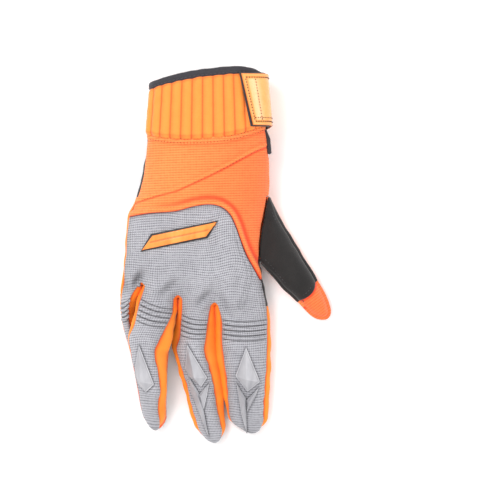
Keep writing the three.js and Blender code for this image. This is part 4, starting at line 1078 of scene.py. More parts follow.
# The mesh back: wrist and thumb side, with its hem rolled over the grey knit
meshBack = dict(
    across=170,
    down=150,
    thickness=1.6,
    rolled=0.5,  # how far the edge turns under
    weltHigh=0.5,
    weltDeep=0.4,  # the groove on the fingers' side of the welt
    hemHigh=0.75,
    foldDeep=0.5,
    foldPlace=4.3,  # from the hem's edge
    softness=0.3,
    stitchPitch=2.1,
)


def backSeamPoint(u):
    # Its columns across and up, times the hand's width and length.
    return points(column(backSeam, "across", u) * handWidth, column(backSeam, "up", u) * handLength, 0)


def wristSeamPoint(u, drop=0.0):
    # The cuff's seam, at a share across that follows the squared cosine of the turn.
    turn = np.pi * (1 - u)
    share = (1 + squared(np.cos(turn))) / 2
    return points(mix(handEdge(-1, handLength), handEdge(1, handLength), share), cuffSeam(turn) - drop, 0)


def backPanel(u, v, upper, lower):
    # Points between two curves across the hand, their ends on the hand's edges.
    p = lerp(upper[None], lower[None], v[:, None])
    for side, end in ((-1, 0), (1, -1)):
        straight = lerp(upper[end], lower[end], v)
        weight = (1 - u) if side < 0 else u
        p[..., 0] += (handEdge(side, straight[:, 1]) - straight[:, 0])[:, None] * weight[None]
    p[..., 2] = handTop(p[..., 0], p[..., 1])
    return p


# The stitched welt that runs slantwise over the mesh, and the soft folds round it
weltLine = [
    (-41.5, 60.5),
    (-26.0, 65.2),
    (-12.2, 68.75),
    (3.75, 75.9),
    (19.75, 83.75),
    (35.6, 92.6),
    (42.8, 95.8),
]


def weltAt(x):
    # The welt's y at x, on straight lines between its points.
    return np.interp(x, *zip(*weltLine))


def meshRelief(x, y, toHem, toCuff):
    # Bells of the distance to the welt, the hem and the cuff, plus crossing waves.
    d = lineDistance(x, y, weltLine)
    upper = y > weltAt(x)
    high, deep = meshBack["weltHigh"], meshBack["weltDeep"]
    welt = high * bell(d, 0, 1.5) - deep * bell(d, 1.9, 0.7) * np.where(upper, 0.2, 1)
    hem = meshBack["hemHigh"] * bell(toHem, 1.8, 1.7)
    hem = hem - meshBack["foldDeep"] * bell(toHem, meshBack["foldPlace"], 1.4)
    cuffHem = -0.4 * bell(toCuff, 5.6, 0.9) + 0.3 * bell(toCuff, 3.0, 2.0)
    soft = meshBack["softness"] * wander(x, y * 1.6, 24, 4) + 0.12 * wander(x, y, 9, 5)
    return welt + hem + cuffHem + soft, d, upper


def buildMeshBack():
    # The height field between the two seams, lifted by its relief, with painted shade and highlight along
    # the same lines.
    u = np.linspace(0, 1, meshBack["across"])
    v = np.linspace(0, 1, meshBack["down"])
    upper = wristSeamPoint(u, -1.5)
    lower = backSeamPoint(u) + points(0, -0.9, 0)
    p = backPanel(u, v, upper, lower)
    x, y = p[..., 0], p[..., 1]
    hemLine = backSeamPoint(np.linspace(0, 1, 60))[:, :2] + np.array([0, -0.9])
    toHem = lineDistance(x, y, [tuple(q) for q in hemLine])
    toCuff = wristSeamPoint(u)[None, :, 1] - y
    lift, toWelt, upper = meshRelief(x, y, toHem, toCuff)
    lift = lift + 0.5 * bell(toHem, 0, 2.4) - 1.3 * bell(toCuff, -1.5, 1.6)
    # Painted shade in the fold, beside the welt, at the hem's edge and in the cuff seam and its groove;
    # painted highlights on the hem's roll, the welt and the cuff's hem; the right side painted darker and
    # the left paler, as if lit from the left.
    fold = bell(toHem, meshBack["foldPlace"], 1.5) * ease(x, -34, 0)
    shade = 1 - 0.3 * fold - 0.3 * bell(toWelt, 1.7, 0.6) * np.where(upper, 0.15, 1)
    shade = shade - 0.4 * bell(toHem, 0, 0.45) - 0.3 * bell(toCuff, 0, 0.8)
    shade = shade + 0.12 * bell(toHem, 1.9, 1.3) + 0.1 * bell(toCuff, 3.2, 2.0)
    shade = shade + 0.1 * bell(toWelt, 0, 0.9) - 0.12 * bell(toCuff, 5.9, 0.6)
    shade = shade - 0.12 * ease(x, -10, 42) + 0.05 * ease(-x, 0, 36)
    cloth = np.stack([x, y - 0.03 * x], -1)
    skin = Skin().grid(p, lift, shade, cloth)
    look, rolled = "mesh", meshBack["rolled"]
    skin.build("mesh_back", meshBack["thickness"], up, look, "mesh_orange", ["back_mesh"], roll=rolled)
    pitch = meshBack["stitchPitch"]
    lifted = lambda q, rise: points(q[:, 0], q[:, 1], handTop(q[:, 0], q[:, 1]) + rise)
    hem = backSeamPoint(np.linspace(0.01, 0.99, 200)) + points(0, 1.6, 0)
    stitch("threadOrange", lifted(hem, 0.85), upright, pitch, 1.2, 0.42)
    weltX = np.linspace(-34.0, 41.0, 160)
    for off, rise, colour in ((0.7, 0.5, "threadOrange"), (-1.4, 0.1, "threadRust")):
        q = points(weltX, weltAt(weltX) + off, 0)
        stitch(colour, lifted(q, rise), upright, 2.2, 1.3, 0.4)
    for drop in (2.2, 4.6):
        q = wristSeamPoint(np.linspace(0.1, 0.95, 200), drop)
        stitch("threadRust", lifted(q, 0.3), upright, pitch, 1.1, 0.42)


# The grey knit back: one comb of the knuckles and four fingers
creases = dict(
    ax=[-33.3, -12.7, 9.0, 15.8, -45.5, 25.0],
    ay=[16.8, 11.4, 4.9, 2.3, 14.0, 20.0],
    bx=[-40.4, -23.5, -0.4, 20.5, -43.5, 26.5],
    by=[6.9, 2.2, -3.9, -8.0, 4.0, 2.0],
    width=[2.0, 1.9, 1.9, 2.0, 2.4, 3.0],
    depth=[1.15, 0.95, 0.9, 0.6, 0.5, 0.3],
)
padWelt = [(24.5, 44.0), (27.3, 34.1), (32.6, 21.0), (33.4, 14.5), (32.2, 8.0), (28.1, -5.0)]
knitBack = dict(
    across=34,  # grid steps over one finger
    notchSteps=5,  # and between two
    down=118,
    alongFinger=190,
    thickness=1.5,
    rolled=0.45,
    softness=0.3,
    pleatPitch=3.0,
    pleatCount=4,
    pleatHigh=1.15,
    # painted shade in the pleats' grooves
    pleatDark=0.85,
    padDent=0.25,
)
pleatStarts = dict(pinky=7.0, ring=7.6, middle=9.6, index=8.8)


def knitRelief(x, y):
    # Crossing waves, less a bell of the distance to each crease, plus one at the welt; the darkness is
    # painted shade in the creases and beside the welt.
    lift = knitBack["softness"] * wander(x, y, 17, 8) + 0.12 * wander(x, y, 6, 9)
    dark = np.zeros_like(x)
    for i in range(len(creases["ax"])):
        spot = [creases[k][i] for k in ("ax", "ay", "bx", "by")]
        d, t = segmentDistance(x, y, *spot)
        taper = np.sin(np.pi * np.clip(t * 0.8 + 0.12, 0, 1))
        groove = bell(d, 0, creases["width"][i]) * taper
        lift = lift - creases["depth"][i] * groove
        lift = lift + 0.45 * creases["depth"][i] * bell(d, 2.4 * creases["width"][i], 2.0) * taper
        dark = dark + 0.42 * groove * creases["depth"][i]
    d = lineDistance(x, y, padWelt)
    lift = lift + 0.45 * bell(d, 0, 1.1)
    dark = dark + 0.22 * bell(d, 1.3, 0.7)
    return lift, dark


def padDent(x, y):
    # The largest bell of the distance to a pad's outline.
    dent = np.zeros_like(x)
    for shape in padShapes.values():
        corners = list(zip(shape["x"], shape["y"]))
        dent = np.maximum(dent, bell(lineDistance(x, y, corners + corners[:1]), 0, 0.9))
    return dent


def pleats(name, along, across):
    # Lift and painted shade in the grooves of the stretch pleats over a finger's base.
    digit = digits[name]
    run = along * digit.length - pleatStarts[name] + 1.4 * across**2 - 0.8
    phase = run / knitBack["pleatPitch"]
    count = knitBack["pleatCount"]
    inside = ease(phase, -0.4, 0.15) * (1 - ease(phase, count - 0.15, count + 0.4))
    edge = 1 - ease(np.abs(across), 0.86, 1.0)
    wave = np.abs(np.sin(np.pi * phase)) ** 0.7
    groove = 1 - ease(np.abs(phase - np.round(phase)), 0.03, 0.2)
    lift = inside * edge * (knitBack["pleatHigh"] * wave - 0.25)
    return lift, knitBack["pleatDark"] * inside * groove * (0.4 + 0.6 * edge)


crotchRise = 0.9  # of the palm's edge between two fingers


def notchDip(share):
    # How far a notch between two fingers reaches into the hand: a sine of the share across it.
    return notchWidth * 0.45 * np.sin(np.pi * share)


def combRow(columnsEach, notchEach, surface, drop=1.0):
    # The comb's first row on the knuckle line: each finger's root, then a sine dip between two.
    start = []
    for k, name in enumerate(order):
        if k > 0:
            share = np.linspace(0, 1, notchEach + 2)[1:-1]
            a = getattr(digits[order[k - 1]], surface)(0.0, 1.0)
            b = getattr(digits[name], surface)(0.0, -1.0)
            p = lerp(a, b, share)
            p[:, 1] += notchDip(share) * drop
            start.append(p)
        across = acrossSteps(columnsEach)
        start.append(getattr(digits[name], surface)(np.zeros(columnsEach + 1), across))
    return np.concatenate(start)


def rowDrift(x, y):
    # The knit's rows wave and lean where the cloth is stretched.
    return 1.6 * wander(x, y * 0.7, 34, 61) + 0.5 * wander(x, y, 15, 62)


def buildKnitBack():
    # The back's height field, then each finger's dome with pleats, waves and pad dents.
    each = knitBack["across"]
    start = combRow(each, knitBack["notchSteps"], "top")
    u = (start[:, 0] - start[0, 0]) / (start[-1, 0] - start[0, 0])
    v = np.linspace(0, 1, knitBack["down"])
    upper = backSeamPoint(u) + points(0, 2.2, 0)
    p = backPanel(u, v, upper, start)
    p[-1] = start
    p[..., 2] = handTop(p[..., 0], p[..., 1])
    x, y = p[..., 0], p[..., 1]
    lift, dark = knitRelief(x, y)
    seam = backSeamPoint(np.linspace(0, 1, 161))
    seamY = np.interp(x, seam[:, 0], seam[:, 1])
    under = ease(seamY - y, 2.2, -0.6)
    lift = lift - 1.35 * under
    # Painted shade in the creases and beside the welt, a painted shadow under the mesh's hem, and painted
    # shade towards both sides.
    shade = 1 - dark - 0.45 * bell(seamY - y, 0.9, 1.1)
    near = 1 - ease(np.abs(2 * u - 1), 0.9, 1.0)
    shade = shade * mix(0.85, 1.0, near)[None]
    skin = Skin().grid(p, lift, shade, np.stack([x + rowDrift(y, x), y + rowDrift(x, y)], -1))
    for name in order:
        digit = digits[name]
        along = fingerSteps(knitBack["alongFinger"], 14, digit.roundTip)
        across = acrossSteps(each)
        q = digit.top(along[:, None], across[None])
        tx, ty = q[..., 0], q[..., 1]
        rootX = digit.top(np.zeros_like(across), across)[:, 0]
        cloth = clothPlace(rootX[None] + rowDrift(ty, tx), ty + rowDrift(tx, ty))
        pleatLift, pleatDark = pleats(name, along[:, None], across[None])
        lift, dark = knitRelief(tx, ty)
        soft = ease(along, 0.25, 0.5)[:, None]
        bunch = 0.35 * soft * wander(tx, ty * 1.5, 13, 20 + order.index(name))
        lift = mix(lift, 0, ease(along, 0.1, 0.3)[:, None]) + pleatLift + bunch
        near = bell(1 - np.abs(across), 0, 0.05)[None]
        dent = padDent(tx, ty)
        lift = lift - knitBack["padDent"] * dent
        # Painted shade in the lower creases, the pleats' grooves, along the finger's sides and round the
        # pads.
        shade = 1 - dark * (1 - soft) - pleatDark - 0.22 * near - 0.3 * dent
        skin.grid(q, lift, shade, cloth)
    look, rolled = "knit", knitBack["rolled"]
    skin.build("knit_back", knitBack["thickness"], up, look, "knit_grey", ["back_knit"], roll=rolled)


buildMeshBack()
buildKnitBack()
print("back panels built")


# Side walls, each from its top seam to its palm seam along part of the glove's border
def fingerPath(name, side, reverse=False):
    # Both seams of one side, the way out between them and how far the wall swells.
    digit = digits[name]
    along = fingerSteps(walls["alongFinger"], 14, digit.roundTip)
    root = np.zeros((len(along), 3)) + np.array([side, 0.0, 0.0])
    out = unit(lerp(root, outwardAt(digit, along, side), ease(along, 0, 0.05)))
    puff = digit.puff(along, side) * (1 - 0.95 * ease(along, digit.roundTip, 0.99))
    # Near the tip the wall draws in behind the edge of the back.
    drawnIn = out * (walls["tipDraw"] * ease(along, digit.roundTip, 0.98))[:, None]
    path = [digit.top(along, side) - drawnIn, digit.below(along, side) - drawnIn, out, puff]
    return [q[::-1] for q in path] if reverse else path


def crotchPath(left, right):
    # A half turn from one finger's side to the next, bulging by the sine of the share.
    share = np.linspace(0, 1, walls["roundCrotch"])[1:-1]
    a, b = digits[left], digits[right]
    top = lerp(a.top(0.0, 1.0), b.top(0.0, -1.0), share)
    top[:, 1] += notchDip(share)
    top[:, 2] = handTop(top[:, 0], top[:, 1])
    below = lerp(a.below(0.0, 1.0), b.below(0.0, -1.0), share)
    below[:, 2] += crotchRise * np.sin(np.pi * share)
    out = points(np.cos(np.pi * share), -np.sin(np.pi * share), 0)
    sides = mix(a.puff(0.0, 1), b.puff(0.0, -1), share)
    return [top, below, out, mix(sides, 0.5, np.sin(np.pi * share))]


# The ways out at the two corners where the thumb leaves the hand
webWay, wristWay = [0.3, -0.95, 0.0], [0.95, 0.3, 0.0]


def handPath(side, fromShare, toShare, corner=None):
    # The hand's edge between two shares, with its way out blended to a corner's.
    y = handStation(side, np.linspace(fromShare, toShare, walls["alongHand"]))
    x = handEdge(side, y)
    out = np.zeros((len(y), 3)) + np.array([side, 0.0, 0.0])
    puff = mix(0.75, 1.1, nearCuff(y)) * sidePuff
    if corner is not None:
        near, way, swell = corner
        out = unit(lerp(out, np.zeros_like(out) + np.array(way), near))
        puff = mix(puff, swell * sidePuff, near)
    return [points(x, y, handTop(x, y)), palmEdge(side, y), out, puff]


walls = dict(
    alongFinger=120,
    alongHand=60,
    roundCrotch=15,
    down=19,
    thickness=1.0,
    fold=0.35,  # height of the small wrinkles
    seamDeep=0.35,
    tipDraw=1.1,  # how far a wall draws in behind the back at the tip
    tuck=1.6,
)
# Facing walls press together from the crotch down to these places along the hand
touching = dict(pinky_ring=-22, ring_middle=-28, middle_index=-62)


def pressed(left, right, lowest):
    # Both walls swell until they meet midway.
    pair = []
    for own, other, side in ((left, right, 1), (right, left, -1)):
        middles = [(path[0] + path[1]) / 2 for path in (own, other)]
        ownEdge = middles[0][:, 0] + side * own[3]
        otherEdge = middles[1][:, 0] - side * other[3]
        y = middles[0][:, 1]
        sorting = np.argsort(middles[1][:, 1])
        facing = np.interp(y, middles[1][sorting, 1], otherEdge[sorting])
        gap = side * (facing - ownEdge)
        extra = np.clip(gap / 2 + 0.04, 0, 2.6) * ease(y, lowest - 9, lowest + 3)
        pair.append([*own[:3], own[3] + extra])
    return pair


def joined(*paths):
    # The parts of several paths, each put end to end.
    return [np.concatenate(parts) for parts in zip(*paths)]


def buildWall(name, node, path, look, slot, seed):
    # Straight lines between two seams, swollen outwards by the sine of the share.
    top, below, out, puff = path
    share = np.linspace(0.0, 1.0, walls["down"])
    p = lerp(top[:, None], below[:, None], np.broadcast_to(share, (len(top), len(share))))
    swell = puff[:, None] * np.sin(np.pi * share)[None] - 0.5 * bell(share, 0, 0.1)[None]
    p = p + out[:, None] * swell[..., None]
    # The cloth is folded in behind the panels above and below it.
    tuckTop = top - out * walls["tuck"] + np.array([0, 0, -1.1])
    tuckBelow = below - out * walls["tuck"] + np.array([0, 0, 1.5])
    p = np.concatenate([tuckTop[:, None], p, tuckBelow[:, None]], axis=1)
    run = runAlong((top + below) / 2)
    height = np.linalg.norm(top - below, axis=1)
    drop = np.concatenate([[-0.08], share, [1.08]])
    cloth = clothPlace(drop[None] * height[:, None], run[:, None])
    inner = np.sin(np.pi * np.clip(drop, 0, 1))[None]
    wrinkle = walls["fold"] * inner * wander(run[:, None] * 0.8, drop[None] * 5, 9, seed)
    drawn = -walls["seamDeep"] * bell(drop, 0, 0.06) - 0.3 * bell(drop, 1, 0.06)
    lift = wrinkle + drawn[None]
    # Painted shade along the top seam, growing darker towards the palm seam.
    shade = 1 - 0.4 * bell(drop, 0, 0.07) - 0.12 * ease(drop, 0.5, 1.0)
    shade = np.broadcast_to(shade[None], lift.shape)
    wayOut = lambda middle: out[nearest(middle, middles)[0]]
    middles = (top + below) / 2
    skin = Skin().grid(p, lift, shade, cloth)
    skin.build(name, walls["thickness"], wayOut, look, slot, [node])


heelShare, webShare, wristShare = palmRows[heelRow], palmRows[webRow], palmRows[wristRow]
buildWall("wall_heel", "heel_side", handPath(-1, heelShare, 1.0), "neoprene", "suede_black", 31)
gussetPath = joined([q[::-1] for q in handPath(-1, 0.0, heelShare)], fingerPath("pinky", -1))
buildWall("wall_little", "side_gusset", gussetPath, "gusset", "gusset_orange", 32)
for i, (left, right) in enumerate(zip(order[:-1], order[1:])):
    pair = pressed(fingerPath(left, 1, True), fingerPath(right, -1), touching[f"{left}_{right}"])
    path = joined(pair[0], crotchPath(left, right), pair[1])
    buildWall(f"wall_{left}_{right}", f"fourchette_{left}_{right}", path, "gusset", "gusset_orange", 40 + i)
buildWall("wall_index", "index_side", fingerPath("index", 1, True), "gusset", "gusset_orange", 50)
webOut = ease(np.linspace(0, 1, walls["alongHand"]), 0.75, 1.0)
webPath = handPath(1, 0.0, webShare, corner=(webOut, webWay, 0.15))
buildWall("wall_web", "web_wall", webPath, "neoprene", "trim_black", 51)
wristOut = 1 - ease(np.linspace(0, 1, walls["alongHand"]), 0.0, 0.25)
wristPath = handPath(1, wristShare, 1.0, corner=(wristOut, wristWay, 0.9))
buildWall("wall_wrist", "wrist_side", wristPath, "mesh", "mesh_orange", 52)
print("side walls built")

# The palm: one comb of suede, with sewn patches and plain orange stripes on two fingers
palmSuede = dict(
    across=26,  # grid steps over one finger
    notchSteps=3,  # and between two
    down=130,
    alongFinger=150,
    thickness=1.1,
    rolled=0.4,
    patchHigh=0.35,
    seamDeep=0.45,
    softness=0.12,
    stitchPitch=2.4,
)
palmPatches = [
    [(-40.0, 30.0), (-30.0, 12.0), (-8.0, 6.0), (16.0, 5.0), (36.0, 12.0)],
    [(-38.0, 52.0), (-22.0, 40.0), (-4.0, 44.0), (8.0, 62.0), (12.0, 92.0)],
    [(38.0, 66.0), (22.0, 56.0), (14.0, 40.0), (18.0, 22.0), (34.0, 14.0)],
]


def palmRelief(x, y):
    # A raised bell beside each sewn line and a narrow groove on it, with painted shade in the groove.
    d = np.min([lineDistance(x, y, line) for line in palmPatches], axis=0)
    lift = palmSuede["patchHigh"] * bell(d, 1.2, 1.0) - palmSuede["seamDeep"] * bell(d, 0, 0.5)
    return lift, 0.5 * bell(d, 0, 0.5)


def buildPalm():
    # The floor's height, rising to both edges by a power of the distance from the middle.
    each = palmSuede["across"]
    between = palmSuede["notchSteps"]
    start = combRow(each, between, "below", 0.0)
    rise = crotchRise * np.sin(np.pi * np.linspace(0, 1, between + 2)[1:-1])
    for k in range(3):
        i = (k + 1) * (each + 1) + between * k
        start[i : i + between, 2] += rise
    u = (start[:, 0] - start[0, 0]) / (start[-1, 0] - start[0, 0])
    v = np.linspace(0, 1, palmSuede["down"])[:, None]
    turn = np.pi + palmTurn + (np.pi - 2 * palmTurn) * u[None]
    y = mix(start[None, :, 1], cuffSeam(turn) - seamGap, v)
    stationLow, stationHigh = handStation(-1, v[:, 0]), handStation(1, v[:, 0])
    edgeLow, edgeHigh = palmEdge(-1, stationLow), palmEdge(1, stationHigh)
    lowMove, highMove = edgeLow[:, 1:2] - y[:, :1], edgeHigh[:, 1:2] - y[:, -1:]
    y = y + lowMove * (1 - u[None]) ** 6 + highMove * u[None] ** 6
    low, high = palmEdge(-1, y + 3 * nearCuff(y)), palmEdge(1, y + 3 * nearCuff(y))
    x = mix(start[None, :, 0], mix(low[..., 0], high[..., 0], u[None]), ease(v, 0, 0.2))
    across = np.clip(np.abs((2 * x - low[..., 0] - high[..., 0]) / (high[..., 0] - low[..., 0])), 0, 1)
    edge = across ** mix(8, 3, nearCuff(y))
    p = points(x, y, mix(palmFloor(y), (low[..., 2] + high[..., 2]) / 2, edge))
    p[:, 0], p[:, -1] = edgeLow, edgeHigh
    p[0] = start
    lift, dark = palmRelief(x, y)
    lift = lift + palmSuede["softness"] * wander(x, y, 12, 60) - 0.35
    fade = ease(v, 0.0, 0.04)
    lift, shade, cloth = lift * fade, 1 - dark * fade, np.stack([x, y], -1)
    skin = Skin().grid(p[::-1], lift[::-1], shade[::-1], cloth[::-1])
    for name in order:
        digit = digits[name]
        along = fingerSteps(palmSuede["alongFinger"], 12, digit.roundTip)
        q = digit.below(along[:, None], acrossSteps(each)[None])
        ridge = -0.3 * bell(along * digit.length, 0.45 * digit.length, 0.8)[:, None]
        wave = (0.1 * wander(q[..., 0], q[..., 1], 9, 61) + ridge - 0.3) * ease(along, 0, 0.06)[:, None]
        skin.grid(q, wave, 1.0 + 0 * wave, q[..., :2])
    thick, rolled = palmSuede["thickness"], palmSuede["rolled"]
    skin.build("palm_suede", thick, down, "suede", "suede_black", ["palm"], roll=rolled)
    pitch = palmSuede["stitchPitch"]
    for line in palmPatches:
        q = resample(np.array([(a, b, 0.0) for a, b in line]), 0.8)[0]
        for off in (0.9, -0.9):
            way = unit(np.gradient(q, axis=0))
            s = q + off * np.stack([-way[:, 1], way[:, 0], 0 * way[:, 0]], -1)
            inside = (s[:, 0] > handEdge(-1, s[:, 1]) + 5) & (s[:, 0] < handEdge(1, s[:, 1]) - 5)
            s = s[inside]
            s[:, 2] = palmFloor(s[:, 1]) + 0.42
            stitch("threadGrey", s, -upright, pitch, 1.5, 0.4, 0.0)


# Each stripe's start and end as shares of the finger, and how much it slants over its width
stripes = dict(
    index=[(0.3, 0.44, 0.05), (0.42, 0.6, 0.07), (0.58, 0.8, 0.08), (0.76, 0.9, 0.04)],
    middle=[(0.28, 0.4, 0.04), (0.4, 0.56, 0.06), (0.56, 0.74, 0.07), (0.72, 0.88, 0.05)],
)


def buildStripes(name, bands):
    # Plain slanted stripes on a finger's palm, each a thin printed layer.
    digit = digits[name]
    skin = Skin()
    for start, end, slant in bands:
        t = np.linspace(0, 1, 26)[:, None]
        w = np.linspace(0, 1, 7)[None]
        across = mix(1, -1, t) * 0.86 + 0 * w
        along = mix(start, end, t) + slant * (w - 0.5) * np.sin(np.pi * np.clip(t * 0.9 + 0.08, 0, 1))
        q = digit.below(along, across)
        q[..., 2] += 0.12
        skin.grid(q, 0.0, 1.0, q[..., :2])
    skin.build(f"stripes_{name}", 0.25, down, "stripe", "gusset_orange")


buildPalm()
for name, bands in stripes.items():
    buildStripes(name, bands)
print("palm built")


# The thumb: black patch above, mesh gusset round below it, mesh cap at the tip
def thumbRing(along):
    # The dome, the floor and both sides, swollen by the sine of the share down them.
    digit = digits["thumb"]
    across = acrossSteps(thumb["across"])
    above = digit.top(along[:, None], across[None])
    beneath = digit.below(along[:, None], across[None])
    flanks = {}
    for side, way, swell in ((-1, webWay, 0.15), (1, wristWay, 0.75)):
        corner = np.zeros((len(along), 3)) + unit(np.array(way))
        out = unit(lerp(corner, outwardAt(digit, along, side), ease(along, 0, 0.15)))
        out[along >= 1] = thumbDown
        puff = mix(swell, 0.8, ease(along, 0, 0.2)) * sidePuff
        k = 0 if side < 0 else -1
        share = np.linspace(0, 1, thumb["down"] + 1)
        even = np.broadcast_to(share, (len(along), len(share)))
        line = lerp(above[:, k][:, None], beneath[:, k][:, None], even)
        flanks[side] = line + out[:, None] * (puff[:, None] * np.sin(np.pi * share)[None])[..., None]
    return above, flanks[-1], beneath, flanks[1]


def fromThumb(middle):
    # The way from the nearest place on the thumb's own axis.
    digit = digits["thumb"]
    a = (digit.top(0.5, 0.0) + digit.below(0.5, 0.0)) / 2
    b = (digit.top(1.0, 0.0) + digit.below(1.0, 0.0)) / 2
    axis = unit(b - a)
    reach = np.minimum(np.linalg.norm(b - a) * 0.9, (middle - a) @ axis)
    return middle - a - reach[:, None] * axis


def patchEnd(across):
    # Where the black patch ends, as a share of the thumb: a square curve over its width.
    return thumbTipStart + 0.032 + 0.06 * across - 0.04 * across**2


def cutTo(rows, ends):
    # The same rows spaced evenly up to a different end in each column.
    spot = np.linspace(0, 1, len(rows))[:, None] * ends[None] * (len(rows) - 1)
    low = np.minimum(spot.astype(int), len(rows) - 2)
    part = (spot - low)[..., None]
    each = np.arange(rows.shape[1])[None]
    return rows[low, each] * (1 - part) + rows[low + 1, each] * part


thumb = dict(
    across=22,  # grid steps over it, and down its sides
    down=12,
    along=120,
    patchLift=0.6,
    patchThickness=1.2,
    meshThickness=1.1,
    stitchPitch=2.3,
)


def buildThumb():
    # Rings round the thumb, each shared out between the patch, the gusset and the cap.
    across = acrossSteps(thumb["across"])
    longest = thumbTipStart + 0.055
    above, inner, beneath, outer = thumbRing(np.linspace(0, longest, thumb["along"]))
    # The patch wraps half way down both sides.
    half = thumb["down"] // 2
    rows = np.concatenate([inner[:, half:0:-1], above, outer[:, 1 : half + 1]], axis=1)
    width = np.concatenate([np.full(half, -1.0), across, np.full(half, 1.0)])
    q = cutTo(rows, patchEnd(width) / longest)
    along = np.linspace(0, 1, len(q))
    border = np.abs(np.linspace(-1, 1, q.shape[1]))
    edge = bell(1 - border, 0, 0.05)[None] + bell(1 - along, 0, 0.02)[:, None]
    lift = thumb["patchLift"] + 0.2 * wander(q[..., 0], q[..., 1], 11, 70) - 0.3 * edge
    lift = lift * ease(along, 0, 0.03)[:, None]
    # Painted shade along the patch's sunk edges.
    skin = Skin().grid(q, lift, 1 - 0.15 * edge, q[..., :2])
    thick = thumb["patchThickness"]
    skin.build("patch_thumb", thick, fromThumb, "suede", "suede_black", ["thumb_patch"], roll=0.5)
    pitch = thumb["stitchPitch"]
    for side in (-0.86, 0.86):
        q = digits["thumb"].top(np.linspace(0.08, 0.72, 120), side)
        stitch("threadBlack", q + 0.62 * upright, upright, pitch, 1.4, 0.42)
    run = np.linspace(-0.85, 0.85, 60)
    q = digits["thumb"].top(patchEnd(run) - 0.035, run)
    stitch("threadBlack", q + 0.62 * upright, upright, pitch, 1.4, 0.42)
    along = np.linspace(0, thumbTipStart, 110)
    above, inner, beneath, outer = thumbRing(along)
    rows = np.concatenate([inner, beneath[:, 1:], outer[:, ::-1][:, 1:]], axis=1)
    lift = 0.15 * wander(rows[..., 0], rows[..., 1] + rows[..., 2], 8, 71) * ease(along, 0, 0.08)[:, None]
    skin = Skin().grid(rows, lift)
    thick = thumb["meshThickness"]
    skin.build("gusset_thumb", thick, fromThumb, "mesh", "mesh_orange", ["thumb_gusset"])
    lead = np.linspace(thumbTipStart - 0.12, thumbTipStart, 12)[:-1]
    along = np.concatenate([lead, fingerSteps(16, 14, thumbRoundTip, thumbTipStart)])
    above, inner, beneath, outer = thumbRing(along)
    rows = [above, outer[:, 1:-1], beneath[:, ::-1], inner[:, ::-1][:, 1:-1], above[:, :1]]
    rows = np.concatenate(rows, axis=1)
    # The cap runs in under the patch on top and under the gusset below.
    starts = np.full(rows.shape[1], thumbTipStart)
    starts[: len(across)] = patchEnd(across)
    starts[-1] = starts[0]
    sunk = 1 - ease(along[:, None] - starts[None], -0.03, 0.0)
    # Painted shade: the whole cap darker and redder, and darker still where it runs in under the patch and
    # the gusset.
    shade = 0.86 - 0.3 * (1 - ease(along[:, None] - starts[None], 0.0, 0.03))
    cloth = np.stack([rows @ thumbOut, rows @ thumbDown], -1)
    skin = Skin().grid(rows, -0.8 * sunk, shade, cloth)
    skin.build("cap_thumb", thick, fromThumb, "mesh", "mesh_orange", ["thumb_tip"])


buildThumb()
print("thumb built")


# The ribbed cuff, its binding and the slit's binding
def awayFromCuff(middle):
    # The way from the cuff's own axis.
    return middle - points(cuffCentreX, middle[:, 1], strapStack + cuffHalfHeight)


cuff = dict(
    around=cuffRibs * 18,  # grid steps
    along=46,
    ribHigh=1.25,
    ribPlace=0.18,  # where the first groove falls, in ribs
    grooveWide=0.12,
    # painted shade in the grooves
    grooveDark=0.36,
    softness=0.18,
)


def buildCuff():
    # The oval, lifted by the sine of the rib's phase to the power 0.75.
    turns = evenTurns(cuff["around"])
    along = np.concatenate([[-0.06], np.linspace(0, 1.03, cuff["along"])])
    p = cuffPoint(turns[None], np.clip(along, 0, 1)[:, None], 0.0)
    p[..., 1] += (along - np.clip(along, 0, 1))[:, None] * cuffLength
    phase = np.linspace(0, cuffRibs, len(turns)) + cuff["ribPlace"]
    wave = np.abs(np.sin(np.pi * phase)) ** 0.75
    ends = 1 - ease(along, 0.92, 1.02)
    soft = cuff["softness"] * wander(phase[None] * 6.5, along[:, None] * 36, 12, 80)
    lift = (cuff["ribHigh"] * wave[None] - 0.45) * (0.25 + 0.75 * ends[:, None]) + soft
    lift = lift - 0.9 * (1 - ease(along, -0.06, 0.01))[:, None]
    groove = 1 - ease(np.abs(phase - np.round(phase)), 0.0, cuff["grooveWide"])
    # Painted light and shade: each rib paler on one side and darker on the other, painted shade in the
    # grooves, and darker at the seam and under the binding.
    shade = 1 + 0.07 * np.cos(2 * np.pi * (phase - 0.36))[None]
    shade = shade - cuff["grooveDark"] * groove[None] * (0.3 + 0.7 * ends[:, None])
    shade = shade - (0.18 * bell(along, 0, 0.02) + 0.2 * ease(along, 0.93, 1.0))[:, None]
    cloth = clothPlace(phase[None] * 6.6, along[:, None] * cuffLength)
    skin = Skin().grid(p, lift, shade, cloth)
    skin.build("band_cuff", cuffThickness, awayFromCuff, "cuff", "cuff_orange", ["cuff_band"])


